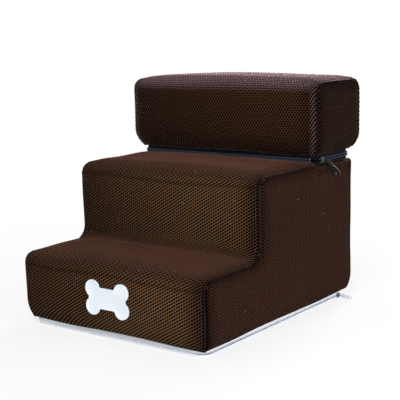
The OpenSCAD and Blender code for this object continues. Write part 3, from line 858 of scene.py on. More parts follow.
def rounded_block(low: Place, high: Place, radius: float) -> BMesh:
    """A block between two corners with round edges.

    Args:
        low: The lowest corner.
        high: The highest corner.
        radius: Radius of its edges.

    Returns:
        The block as a bmesh.
    """
    low, high = Vector(low), Vector(high)
    shape = bmesh.new()
    bmesh.ops.create_cube(shape, size=1.0)
    bmesh.ops.transform(shape, verts=shape.verts, matrix=Matrix.Translation((low + high) / 2)
                        @ Matrix.Diagonal((*(high - low), 1.0)))
    soften(shape, radius)
    return shape


def arc(centre: Spot, radius: float, start: float, end: float, steps: int) -> list[Spot]:
    """Points of an arc, in degrees."""
    turns = np.radians(np.linspace(start, end, steps + 1))
    return [(centre[0] + radius * math.cos(a), centre[1] + radius * math.sin(a)) for a in turns]


class RoundLoop:
    """A rectangle with round corners that tapes and coils follow, seen from above."""

    def __init__(self, x: float, y0: float, y1: float, corner: float, step: float) -> None:
        """Lays points about one step apart, from the middle of the front and on to the right.

        Args:
            x: Half of the width.
            y0: The front.
            y1: The back.
            corner: Radius of the corners.
            step: Distance between points.
        """
        self.corner, self.step = corner, step
        inner, ya, yb = x - corner, y0 + corner, y1 - corner
        legs = (self.straight((0.0, y0), (inner, y0)), self.turn((inner, ya), -90),
                self.straight((x, ya), (x, yb)), self.turn((inner, yb), 0),
                self.straight((inner, y1), (-inner, y1)), self.turn((-inner, yb), 90),
                self.straight((-x, yb), (-x, ya)), self.turn((-inner, ya), 180),
                self.straight((-inner, y0), (0.0, y0)))
        self.spots, self.normals = (np.vstack(parts) for parts in zip(*legs))

    def straight(self, start: Spot, end: Spot) -> tuple[Points, Points]:
        """Points of a straight run and their outward directions.

        Args:
            start: Its first point.
            end: Where it ends, with no point there.

        Returns:
            The points and the directions, as rows.
        """
        length, step = math.dist(start, end), np.array(end) - np.array(start)
        count = max(1, round(length / self.step))
        outward = np.sign(step[::-1]) * (1.0, -1.0)
        return np.array(start) + step * (np.arange(count)[:, None] / count), np.tile(
            outward, (count, 1))

    def turn(self, centre: Spot, start: float) -> tuple[Points, Points]:
        """Points of a round corner from a direction in degrees, and their outward directions.

        Args:
            centre: Centre of the corner.
            start: Direction of its first point from there.

        Returns:
            The points and the directions, as rows.
        """
        count = max(3, round(self.corner * math.pi / 2 / self.step))
        angle = math.radians(start) + np.arange(count) / count * math.pi / 2
        outward = np.stack([np.cos(angle), np.sin(angle)], axis=1)
        return np.array(centre) + self.corner * outward, outward

    def rows(self, z: float) -> tuple[Points, Points]:
        """Gives the points at a height, and their outward directions."""
        up = np.full((len(self.spots), 1), z)
        return np.hstack([self.spots, up]), np.hstack([self.normals, 0 * up])


# Padded panels

COVER_SEAM = 0.003
SEAM_OVERLAP = 0.0006
FOLD_DEPTH = 0.0011
FOLD_WIDTH = 0.0026
FOLD_WANDER = 0.0012
WAVE_LENGTHS = (0.07, 0.2)
WAVES = 6


class Outline:
    """The outline of a panel on the flat cloth."""

    def __init__(self, points: list[Spot], sewn: list[float],
                 corners: list[Spot] | None = None) -> None:
        """Takes points in order, turning left.

        Args:
            points: The outline's points.
            sewn: Per stretch from a point to the next, 1 where a neighbour is sewn to it at
                a mitre and 0 where it ends square.
            corners: The sharp corners, where they aren't all the points.
        """
        self.starts = np.array(points, float)
        self.ends = np.roll(self.starts, -1, axis=0)
        self.sewn = np.array(sewn)
        self.corners = np.array(points if corners is None else corners, float)
        step = self.ends - self.starts
        self.inwards = np.stack([-step[:, 1], step[:, 0]], axis=1)
        self.inwards /= np.linalg.norm(self.inwards, axis=1, keepdims=True)
        self.low, self.high = self.starts.min(axis=0), self.starts.max(axis=0)
        self.size, self.middle = self.high - self.low, (self.low + self.high) / 2

    @classmethod
    def strip(cls, half: float, low: float, high: float) -> "Outline":
        """The outline of a straight strip that is sewn along its two sides."""
        corners = [(-half, low), (half, low), (half, high), (-half, high)]
        return cls(corners, [0.0, 1.0, 0.0, 1.0])

    def nearest(self, spots: Points, sewn: bool | None = None
                ) -> tuple[Points, Points, Points]:
        """Gives the distance to the outline, its nearest point and the stretch that is on.

        Args:
            spots: Places on the flat cloth.
            sewn: Whether only the stretches count that a neighbour is sewn to, or only the
                others; all of them where it isn't given.

        Returns:
            The three values for each place.
        """
        best = np.full(len(spots), np.inf)
        foot, stretch = spots.copy(), np.zeros(len(spots), int)
        for k, (a, b) in enumerate(zip(self.starts, self.ends)):
            if sewn is not None and sewn != (self.sewn[k] > 0):
                continue
            step = b - a
            t = np.clip(((spots - a) @ step) / (step @ step), 0.0, 1.0)
            q = a + t[:, None] * step
            far = np.hypot(*(spots - q).T)
            closer = far < best
            best[closer], foot[closer], stretch[closer] = far[closer], q[closer], k
        return best, foot, stretch

    def holds(self, spots: Points) -> Points:
        """Tells which points are inside.

        Args:
            spots: Places on the flat cloth.

        Returns:
            For each of them whether it is inside.
        """
        inside = np.zeros(len(spots), bool)
        for a, b in zip(self.starts, self.ends):
            crosses = (a[1] > spots[:, 1]) != (b[1] > spots[:, 1])
            if a[1] != b[1]:
                at = a[0] + (spots[:, 1] - a[1]) * (b[0] - a[0]) / (b[1] - a[1])
                inside ^= crosses & (spots[:, 0] < at)
        return inside

    def trim(self, shape: BMesh) -> None:
        """Cuts a flat sheet along the outline: cells outside go, and its rim moves on to it.

        Args:
            shape: The flat sheet, which is changed.
        """
        shape.faces.ensure_lookup_table()
        inside = self.holds(np.array([f.calc_center_median()[:2] for f in shape.faces]))
        bmesh.ops.delete(shape, geom=[f for f, keep in zip(shape.faces[:], inside) if not keep],
                         context="FACES")
        rim = [v for v in shape.verts if v.is_boundary]
        spots = np.array([v.co[:2] for v in rim])
        feet = self.nearest(spots)[1]
        for corner in self.corners:
            feet[np.argmin(np.hypot(*(spots - corner).T))] = corner
        for vert, foot in zip(rim, feet):
            vert.co.xy = foot
        bmesh.ops.remove_doubles(shape, verts=rim, dist=0.0004)


@dataclass(frozen=True)
class MeshWeave:
    """Staggered holes of the knitted mesh, in metres on the flat cloth."""

    pitch: float
    column: float
    turned: bool = False
    rib: float = 0.00054
    wall: float = 0.00022
    least_hole: float = 0.00015
    rise: float = 0.00025
    depth: float = 0.0019
    slant: float = 0.17
    stretch: float = 0.14
    stretch_reach: float = 0.011

    def sheet(self, outline: Outline) -> BMesh:
        """Cuts a flat sheet of the mesh, as a closed slab of cells with a pit in each.

        Args:
            outline: The panel's outline.

        Returns:
            The slab.
        """
        shape = bmesh.new()
        across, along = outline.size[::-1] if self.turned else outline.size
        columns, rows = round(across / self.column), round(2 * along / self.pitch)
        column, row_step = across / columns, along / (rows + 0.16)
        columns, rows = columns + 2, rows + 6
        bmesh.ops.create_grid(shape, x_segments=columns, y_segments=rows, size=0.5)
        place = {v: (round((v.co.x + 0.5) * columns), round((v.co.y + 0.5) * rows))
                 for v in shape.verts}
        spare = []
        for edge in shape.edges:
            (i, j), (k, row) = (place[v] for v in edge.verts)
            if j == row and 0 < j < rows and (min(i, k) + j) % 2 == 1:
                spare.append(edge)
        for vert, (i, j) in place.items():
            shift = (-1 if (i + j) % 2 else 1) * column / 6
            spot = ((i - columns / 2) * column + shift, (j - rows / 2) * row_step)
            vert.co.xy = outline.middle + (spot[::-1] if self.turned else spot)
        bmesh.ops.dissolve_edges(shape, edges=spare, use_verts=False)
        outline.trim(shape)
        if self.turned:
            bmesh.ops.reverse_faces(shape, faces=shape.faces)
        self.pit(shape, slab(shape), outline)
        return shape

    def pit(self, shape: BMesh, tops: list[BMFace], outline: Outline) -> None:
        """Sinks a hole into each whole cell.

        The holes are longer along one diagonal, on which the ribs run through, and wider near
        the seams, where the mesh is pulled.

        Args:
            shape: The slab.
            tops: Its upper faces, one per cell.
            outline: The panel's outline.
        """
        rib = np.array([self.column, self.pitch / 2])
        rib = (rib[::-1] if self.turned else rib) / np.hypot(*rib)
        narrowest = self.rib + self.wall + self.least_hole
        widths = {f: 2 * f.calc_area() / f.calc_perimeter() for f in tops}
        cells = [f for f in tops if widths[f] > narrowest]
        whole = share([widths[f] for f in cells], narrowest, 0.4 * self.column + narrowest / 3)
        centres = np.array([f.calc_center_median()[:2] for f in cells])
        seam = outline.nearest(centres, sewn=True)[0]
        pulled = self.stretch * np.exp(-(seam / self.stretch_reach) ** 2)
        self.inset(shape, cells, centres, self.rib, self.rise)
        for cell, centre, ease, pull in zip(cells, centres, whole, pulled):
            slant, grow = self.slant * ease, 1 + pull * ease
            for vert in cell.verts:
                off = np.array(vert.co[:2]) - centre
                along = rib * (off @ rib)
                vert.co.xy = centre + grow * (off * (1 - slant) + along * 2 * slant)
        self.inset(shape, cells, centres, self.wall, self.depth)

    def inset(self, shape: BMesh, cells: list[BMFace], centres: Points, width: float,
              depth: float) -> None:
        """Insets and sinks cells, and brings back corners that went beyond their cell.

        Args:
            shape: The slab.
            cells: Faces of the cells.
            centres: Middles of the cells.
            width: Width of the inset.
            depth: How far the cells sink.
        """
        bmesh.ops.inset_individual(shape, faces=cells, thickness=width, depth=-depth,
                                   use_even_offset=True)
        limit = 0.55 * self.pitch
        for cell, centre in zip(cells, centres):
            for vert in cell.verts:
                off = np.array(vert.co[:2]) - centre
                far = np.hypot(*off)
                if far > limit:
                    vert.co.xy = centre + off * 0.3 * limit / far


LOWER_WEAVE = MeshWeave(pitch=0.00476, column=0.004)
UPPER_WEAVE = MeshWeave(pitch=0.00508, column=0.00355, turned=True)
LOWER_WALL_WEAVE = MeshWeave(pitch=0.00476, column=0.004, rib=0.00088, slant=0.04, stretch=0.55)
UPPER_WALL_WEAVE = MeshWeave(pitch=0.00508, column=0.00355, turned=True, rib=0.0008,
                             slant=0.04, stretch=0.45)


@dataclass(frozen=True)
class Padding:
    """Thickness of a panel, in metres."""

    full: float = 0.006
    seam: float = COVER_SEAM
    edge: float = 0.012
    crown: float = 0.0025
    crown_reach: float = 0.06
    hem_share: float = 0.6
    hem_reach: float = 0.006
    least: float = 0.0004


@dataclass
class Swell:
    """How far a simulated cover stands off its smooth form, on a grid over the flat cloth."""

    low: Points
    spacing: float
    grid: Points

    def at(self, spots: Points) -> Points:
        """Gives the offset at places on the flat cloth.

        Args:
            spots: Places on the flat cloth.

        Returns:
            The offset at each of them.
        """
        steps = (spots - self.low) / self.spacing
        last = np.array(self.grid.shape[:2]) - 2
        cell = np.clip(np.floor(steps).astype(int), 0, last)
        t = np.clip(steps - cell, 0.0, 1.0)
        t = t * t * (3 - 2 * t)
        (i, j), (s, r) = cell.T, t.T[:, :, None]
        return ((1 - s) * ((1 - r) * self.grid[i, j] + r * self.grid[i, j + 1])
                + s * ((1 - r) * self.grid[i + 1, j] + r * self.grid[i + 1, j + 1]))


@dataclass(frozen=True)
class BlockForm:
    """A block's body, the inner faces of its cover and how its walls draw in at the foot."""

    body: str
    wall_x: float
    wall_y0: float
    wall_y2: float
    foot_z: float
    top_z: float
    tuck: float
    tuck_reach: float
    hem_reach: float = 0.02

    @property
    def half(self) -> float:
        """Half of the width between the side seams."""
        return self.wall_x - SEAM_OVERLAP + COVER_SEAM

    def drawn_in(self, placed: Points) -> Points:
        """Draws points in towards the seam at the foot.

        Args:
            placed: The points.

        Returns:
            The points, drawn in.
        """
        middle = (self.wall_y0 + self.wall_y2) / 2
        half = (self.wall_y2 - self.wall_y0) / 2
        pull = self.tuck * (1 - share(placed[:, 2] - self.foot_z, 0.0, self.tuck_reach)) ** 2
        pulled = placed.copy()
        pulled[:, 0] *= 1 - pull / self.wall_x
        pulled[:, 1] = middle + (placed[:, 1] - middle) * (1 - pull / half)
        return pulled

    def hem(self, placed: Points) -> Points:
        """How much points take part in the waves of the hem: 1 at the foot."""
        return 1 - share(placed[:, 2] - self.foot_z, 0.0, self.hem_reach)


LOWER = BlockForm("lower_block", wall_x=0.1667, wall_y0=-0.1972, wall_y2=0.1972, foot_z=0.011,
                  top_z=0.2282, tuck=0.006, tuck_reach=0.03)
UPPER = BlockForm("upper_block", wall_x=0.1762, wall_y0=0.0841, wall_y2=0.2067, foot_z=0.245,
                  top_z=0.3522, tuck=0.0095, tuck_reach=0.028)


def unevenness(placed: Points, seed: int, size: float) -> Points:
    """Gentle waves of hand-sewn cloth at points in space, about as high as the size.

    Args:
        placed: The points.
        seed: Seed of the random draws.
        size: About how high the waves are, in metres.

    Returns:
        The height at each point.
    """
    draws = np.random.default_rng(seed)
    total = np.zeros(len(placed))
    for _ in range(WAVES):
        wave = draws.normal(size=3)
        wave *= 2 * math.pi / draws.uniform(*WAVE_LENGTHS) / np.linalg.norm(wave)
        total += np.sin(placed @ wave + draws.uniform(0, 2 * math.pi))
    return size * total / 3


@dataclass
class Panel:
    """A padded panel of mesh: flat cloth, laid over the foam by its own rule."""

    name: str
    node: str
    form: BlockForm
    outline: Outline
    weave: MeshWeave
    padding: Padding
    finish: Finish
    swell: Swell | None = field(default=None, init=False)

    def mirrored(self) -> bool:
        """Whether laying the panel turns its faces round."""
        return False

    def lay(self, spots: Points, lift: Points) -> Points:
        """Lays places on the flat cloth over the foam, lifted off it."""
        raise NotImplementedError

    def crown(self, spots: Points, distance: Points) -> Points:
        """Extra bulge of the panel."""
        return self.padding.crown * roll(distance, self.padding.crown_reach)

    def calm(self, spots: Points) -> Points:
        """How freely the cover swells: 1, and less where something holds it down."""
        return np.ones(len(spots))

    def openness(self, spots: Points, distance: Points) -> Points:
        """How far a point is from a seam's dark line: 0 on it and 1 clear of it, a little less up
        to 2 cm from any edge.
        """
        return 0.75 * share(distance, 0.0006, 0.0016) + 0.25 * share(distance, 0.0016, 0.02)

    def olive(self, spots: Points) -> Points:
        """Where painted front light makes the ribs golden and lighter: nowhere, unless the panel
        says so.
        """
        return np.zeros(len(spots))

    def brushed(self, spots: Points) -> Points:
        """Where painted sheen makes the ribs pale: a painted highlight where they turn over
        towards a seam.
        """
        seam = self.outline.nearest(spots, sewn=True)[0]
        return 0.6 * np.exp(-((seam - 0.0055) / 0.0045) ** 2)

    def cover(self, spots: Points, relief: Points, inner: Points) -> Points:
        """Places all points of the panel.

        Args:
            spots: Places on the flat cloth.
            relief: Heights over the smooth cover, as of ribs and pits.
            inner: Which points are on the side of the foam.

        Returns:
            The points.
        """
        pad = self.padding
        distance, _, stretch = self.outline.nearest(spots)
        thick = pad.seam + (pad.full - pad.seam) * roll(distance, pad.edge) \
            + self.crown(spots, distance)
        hem = 1 - roll(self.outline.nearest(spots, sewn=False)[0], pad.hem_reach)
        thick = thick * (1 - pad.hem_share * hem)
        relief = relief * np.clip((thick - pad.least) / 0.0026, 0.1, 1.0)
        near = 1 - share(distance, 0.0, pad.edge)
        mitre = pad.seam * near * self.outline.sewn[stretch] * inner
        moved = spots + self.outline.inwards[stretch] * mitre[:, None]
        placed = self.lay(moved, np.where(inner, 0.0, thick + relief))
        if self.swell is not None:
            free = share(distance, 0.004, 0.02) * self.calm(spots) * ~inner
            placed = placed + self.swell.at(spots) * free[:, None]
        return placed

    def laid(self, mesh: Mesh) -> tuple[Points, Points, Points, Points]:
        """Lays a flat slab over the foam.

        Args:
            mesh: The slab, whose points on the side of the foam have a height of -1.

        Returns:
            For each point its place on the flat cloth, its relief, whether it is on the side
            of the foam, and where it came to be.
        """
        flat = points_of(mesh)
        spots, inner = flat[:, :2], flat[:, 2] < -0.5
        relief = np.where(inner, 0.0, flat[:, 2])
        placed = self.cover(spots, relief, inner)
        mesh.vertices.foreach_set("co", placed.ravel())
        return spots, relief, inner, placed

    def make(self) -> Object:
        """Cuts the mesh, lays it and dresses it.

        Returns:
            The piece.
        """
        mesh = flat_shaded(self.weave.sheet(self.outline), self.name)
        spots, relief, inner, _ = self.laid(mesh)
        self.unwrap(mesh, spots, inner)
        if self.mirrored():
            mesh.flip_normals()
        # Colour attributes: painted shade in the holes, the seams' dark line with painted fold
        # shade, painted front light and painted sheen.
        deep = share(-relief, self.weave.rise, self.weave.rise + self.weave.depth)
        distance = self.outline.nearest(spots)[0]
        measure_points(mesh, pit=np.where(inner, 0.3, deep), seam=self.openness(spots, distance),
                       olive=self.olive(spots), brushed=self.brushed(spots),
                       flat=np.hstack([spots, 0 * spots[:, :1]]))
        mesh.shade_smooth()
        mesh.update()
        return put(self.name, mesh, self.form.body, self.finish, self.node, fill=0.7)

    def unwrap(self, mesh: Mesh, spots: Points, inner: Points) -> None:
        """Keeps the flat cloth as the piece's UV map, with its inner side small beside it.

        Args:
            mesh: The laid panel.
            spots: Its points on the flat cloth.
            inner: Which points are on the side of the foam.
        """
        scaled = (spots - self.outline.low) / self.outline.size.max()
        corners = np.empty(len(mesh.loops), int)
        mesh.loops.foreach_get("vertex_index", corners)
        counts = np.empty(len(mesh.polygons), int)
        mesh.polygons.foreach_get("loop_total", counts)
        face = np.repeat(np.arange(len(counts)), counts)
        inside = inner[corners]
        hidden = np.bincount(face, inside, len(counts))[face] > 0
        small = (scaled[corners] - 0.5) * 0.08 * np.where(inside, 1.0, 1.08)[:, None] + 0.945
        uv = np.where(hidden[:, None], small, scaled[corners] * 0.885 + 0.005)
        mesh.uv_layers.new(name="OFBake").uv.foreach_set("vector", uv.ravel())


class Profile:
    """The path of a strip in the YZ plane, with lengths along the middle of the padding."""

    def __init__(self, y: float, z: float, heading: float, middle: float = 0.006) -> None:
        """Starts at a point with a heading in degrees; the strip's outer side is on the left."""
        self.rows = [(0.0, y, z, heading)]
        self.middle = middle

    def straight(self, length: float) -> "Profile":
        """Goes straight on.

        Args:
            length: How far.

        Returns:
            The profile itself.
        """
        v, y, z, heading = self.rows[-1]
        a = math.radians(heading)
        self.rows.append((v + length, y + length * math.cos(a), z + length * math.sin(a),
                          heading))
        return self

    def turn(self, radius: float, degrees: float) -> "Profile":
        """Turns on the foam's radius, to the right with positive degrees.

        Args:
            radius: The foam's radius.
            degrees: How far it turns.

        Returns:
            The profile itself.
        """
        v, y, z, heading = self.rows[-1]
        side = -math.copysign(1.0, degrees)
        a = math.radians(heading + 90 * side)
        cy, cz = y + radius * math.cos(a), z + radius * math.sin(a)
        length = (radius - side * self.middle) * math.radians(abs(degrees))
        for t in np.linspace(0, 1, 25)[1:]:
            turned = heading - degrees * t
            b = math.radians(turned - 90 * side)
            self.rows.append((v + length * t, cy + radius * math.cos(b),
                              cz + radius * math.sin(b), turned))
        return self

    @property
    def length(self) -> float:
        """The whole length."""
        return self.rows[-1][0]

    def at(self, v: Points) -> tuple[Points, Points]:
        """Gives the path's points (y, z) and outward directions at lengths along it.

        Args:
            v: The lengths.

        Returns:
            The points and the directions, as rows.
        """
        rows = np.array(self.rows)
        y, z, heading = (np.interp(v, rows[:, 0], rows[:, k]) for k in (1, 2, 3))
        out = np.radians(heading + 90)
        return np.stack([y, z], axis=1), np.stack([np.cos(out), np.sin(out)], axis=1)


@dataclass
class StripPanel(Panel):
    """A strip over the steps, from side to side, whose path is a profile.

    Folds are lengths along the path at which a faint fold runs across. Pressed gives a badge's
    middle and half sizes on the flat cloth, where it holds the strip flat.
    """

    profile: Profile
    level_from: float
    folds: tuple[float, ...] = ()
    pressed: tuple[float, float, float, float] | None = None

    def crown(self, spots: Points, distance: Points) -> Points:
        """The steps bulge most at the middle of the width; folds press a shallow line.

        Args:
            spots: Places on the flat cloth.
            distance: How far each is from the outline; not used.

        Returns:
            The bulge at each of them.
        """
        u, v = spots.T
        reach = self.padding.crown_reach
        ends = roll(v, reach) * roll(self.profile.length - v, reach)
        bulge = self.padding.crown * (1 - (u / self.form.half) ** 2) * ends
        return bulge - FOLD_DEPTH * self.creases(spots)

    def creases(self, spots: Points) -> Points:
        """The faint folds across the strip: 1 on them.

        Args:
            spots: Places on the flat cloth.

        Returns:
            How much each of them is in a fold.
        """
        u, v = spots.T
        pressed = np.zeros(len(spots))
        for fold in self.folds:
            wander = FOLD_WANDER * np.sin(u * 23.0 + fold * 90)
            pressed += np.exp(-((v - fold - wander) / FOLD_WIDTH) ** 2)
        return pressed

    def openness(self, spots: Points, distance: Points) -> Points:
        """The folds get painted shade as well as the seams' dark line."""
        return super().openness(spots, distance) * (1 - 0.6 * self.creases(spots))

    def olive(self, spots: Points) -> Points:
        """Painted front light on faces towards the front: weaker to the left, none at the right
        edge.

        Args:
            spots: Places on the flat cloth.

        Returns:
            How olive each of them is.
        """
        half, out = self.form.half, self.profile.at(spots[:, 1])[1]
        left = 0.15 + 0.85 * share(spots[:, 0] + half, 0.02, 0.22)
        inset = left * share(half - spots[:, 0], 0.004, 0.035)
        return np.clip(-out[:, 0], 0.0, 1.0) ** 3 * inset

    def brushed(self, spots: Points) -> Points:
        """The treads and the top get painted sheen too, more where they lie level."""
        level = share(self.profile.at(spots[:, 1])[1][:, 1], self.level_from, 0.95)
        return np.maximum(level, super().brushed(spots))

    def calm(self, spots: Points) -> Points:
        """The badge holds the cover down.

        Args:
            spots: Places on the flat cloth.

        Returns:
            How freely the cover swells at each of them.
        """
        if self.pressed is None:
            return super().calm(spots)
        u, v, wide, high = self.pressed
        off = np.maximum(np.abs(spots[:, 0] - u) - wide, np.abs(spots[:, 1] - v) - high)
        return share(off, 0.0, 0.02)

    def lay(self, spots: Points, lift: Points) -> Points:
        """Lays the strip along its profile and draws its feet in.

        Args:
            spots: Places on the flat cloth.
            lift: How far each is lifted off the foam.

        Returns:
            The places in space.
        """
        path, out = self.profile.at(spots[:, 1])
        placed = np.column_stack([spots[:, 0], path + out * lift[:, None]])
        wave = unevenness(placed, seed=3, size=0.0005) * share(lift, 0.0, 0.005) \
            * self.calm(spots)
        placed[:, 1:] += out * wave[:, None]
        placed[:, 2] += self.form.hem(placed) * (0.0011 * np.sin(placed[:, 0] * 27 + 1.0)
                                                 - 0.0006)
        return self.form.drawn_in(placed)


@dataclass
class WallPanel(Panel):
    """A flat panel that stands upright or lies level.

    The origin is where that of the flat cloth goes, and the axes are its two directions and
    its outer side.
    """

    origin: Place
    axes: tuple[Place, Place, Place]

    def mirrored(self) -> bool:
        """Whether the two directions and the outer side are left-handed."""
        return float(np.cross(self.axes[0], self.axes[1]) @ self.axes[2]) < 0

    def lay(self, spots: Points, lift: Points) -> Points:
        """Lays the panel on its plane and draws its foot in.

        Args:
            spots: Places on the flat cloth.
            lift: How far each is lifted off the foam.

        Returns:
            The places in space.
        """
        placed = np.array(self.origin) + np.column_stack([spots, lift]) @ np.array(self.axes)
        wave = unevenness(placed, seed=5, size=0.0009) * share(lift, 0.0, 0.005)
        placed = placed + np.array(self.axes[2]) * wave[:, None]
        placed[:, 2] += self.form.hem(placed) * (0.001 * np.cos((placed[:, 1] + 0.03) * 25.1)
                                                 - 0.0002)
        return self.form.drawn_in(placed)


@dataclass
class CoverSimulation:
    """Blows up coarse copies of the panels with Cloth, to find how the cover swells."""

    spacing: float = 0.0065
    frames: int = 20
    pressure: float = 4.0
    cap: float = 0.0025
    grow: float = 0.008
    trials: list[tuple[Panel, Object, tuple[Points, ...]]] = field(default_factory=list)

    def cells(self, outline: Outline) -> Points:
        """How many cells of the grid cover an outline, across and along."""
        return np.ceil(outline.size / self.spacing).astype(int) + 2

    def add(self, panel: Panel) -> None:
        """Makes the coarse closed pad of a panel, held at its seams and on its foam side.

        Args:
            panel: The panel.
        """
        shape = bmesh.new()
        outline, count = panel.outline, self.cells(panel.outline)
        bmesh.ops.create_grid(shape, x_segments=int(count[0]), y_segments=int(count[1]),
                              size=0.5)
        for vert in shape.verts:
            vert.co.xy = outline.middle + np.array(vert.co.xy) * count * self.spacing
        outline.trim(shape)
        slab(shape)
        mesh = flat_shaded(shape, f"{panel.name}_trial")
        laid = panel.laid(mesh)
        mesh.update()
        trial = in_scene(mesh.name, mesh)
        held = laid[2] | (outline.nearest(laid[0])[0] < 0.001)
        trial.vertex_groups.new(name="held").add(np.nonzero(held)[0].tolist(), 1.0, "REPLACE")
        cloth = trial.modifiers.new("swell", "CLOTH")
        for name, value in {
                "quality": 6, "mass": 0.2, "vertex_group_mass": "held", "tension_stiffness": 12,
                "compression_stiffness": 12, "bending_stiffness": 1.0, "shrink_min": -self.grow,
                "use_pressure": True, "uniform_pressure_force": self.pressure}.items():
            setattr(cloth.settings, name, value)
        cloth.settings.effector_weights.gravity = 0
        cloth.point_cache.frame_start, cloth.point_cache.frame_end = 1, self.frames
        self.trials.append((panel, trial, laid))

    def run(self) -> None:
        """Runs all pads together and gives each panel its capped swell."""
        for number in range(1, self.frames + 1):
            bpy.context.scene.frame_set(number)
        graph = bpy.context.evaluated_depsgraph_get()
        for panel, trial, (spots, _, inner, rest) in self.trials:
            swollen = trial.evaluated_get(graph)
            offset = points_of(swollen.to_mesh()) - rest
            swollen.to_mesh_clear()
            size = np.linalg.norm(offset, axis=1, keepdims=True)
            LOG.info("%s swells %.1f mm", panel.name, size.max() * 1000)
            offset *= np.tanh(size / self.cap) * self.cap / np.maximum(size, 1e-9)
            panel.swell = self.spread(panel.outline, spots[~inner], offset[~inner])
        for _, trial, _ in self.trials:
            bpy.data.meshes.remove(trial.data)
        bpy.context.scene.frame_set(1)

    def spread(self, outline: Outline, spots: Points, offset: Points) -> Swell:
        """Lays the offsets of the outer side on a grid and smooths them once.

        Args:
            outline: The panel's outline.
            spots: Places of the outer side on the flat cloth.
            offset: How far each has moved.

        Returns:
            The panel's swell.
        """
        count = self.cells(outline)
        low = outline.middle - count * self.spacing / 2
        grid = np.zeros((*(count + 1), 3))
        steps = (spots - low) / self.spacing
        whole = np.round(steps).astype(int)
        on_grid = np.abs(steps - whole).max(axis=1) < 0.01
        grid[whole[on_grid, 0], whole[on_grid, 1]] = offset[on_grid]
        for axis in (0, 1):
            grid = (np.roll(grid, 1, axis) + 2 * grid + np.roll(grid, -1, axis)) / 4
        return Swell(low, self.spacing, grid)


# Sub-assemblies

SIDES = (("right", 1.0), ("left", -1.0))


@dataclass
class Block:
    """What both blocks have: foam, a strip, side panels and threads in their seams."""

    form: BlockForm
    edge: float = 0.012
    foam_edge: float = 0.003
    thread: float = 0.0007
    thread_x: float = 0.0016
    thread_out: float = 0.0018
    thread_end: float = 0.002

    def profile(self) -> Profile:
        """The strip's path."""
        raise NotImplementedError

    def cut_foam(self, name: str, node: str) -> Object:
        """Makes the foam of its node's solid, with soft edges.

        Args:
            name: The piece's name.
            node: The node it replaces.

        Returns:
            The piece.
        """
        shape = solid_of(node)
        bmesh.ops.dissolve_limit(shape, angle_limit=0.02, verts=shape.verts, edges=shape.edges)
        soften(shape, self.foam_edge, angle=0.5)
        return put(name, to_mesh(shape, name), self.form.body, FOAM, node, fill=0.9)

    def side_panels(self, stem: str, outline: Outline, weave: MeshWeave,
                    finish: Finish) -> list[Panel]:
        """Makes the right and the left panel.

        Args:
            stem: Their names, with braces in place of the side.
            outline: Their outline, in y and z.
            weave: Their mesh.
            finish: What they wear.

        Returns:
            The two panels.
        """
        return [WallPanel(f"{stem.format(side)}_cover", f"{stem.format(side)}_panel", self.form,
                          outline, weave, Padding(), finish, (sign * self.form.wall_x, 0.0, 0.0),
                          ((0.0, 1.0, 0.0), (0.0, 0.0, 1.0), (sign, 0.0, 0.0)))
                for side, sign in SIDES]

    def seam(self, name: str, sign: float, path: Points) -> Object:
        """One line of thread in the groove of a seam, along a path in y and z.

        Args:
            name: The piece's name.
            sign: 1 on the right side and -1 on the left.
            path: The path's points as rows.

        Returns:
            The piece.
        """
        x = np.full((len(path), 1), sign * (self.form.wall_x + self.thread_x))
        line = self.form.drawn_in(np.hstack([x, path]))
        mesh = cord(name, line, self.thread, 6, hint=(1.0, 0.0, 0.0))
        return put(name, mesh, self.form.body, SEAM_THREAD)

    def strip_path(self, end: float, count: int) -> Points:
        """The groove beside the strip, from its foot to a distance before its end.

        Args:
            end: The distance, in metres.
            count: How many points.

        Returns:
            The points as rows of y and z.
        """
        profile = self.profile()
        path, out = profile.at(np.linspace(self.thread_end, profile.length - end, count))
        return path + out * self.thread_out


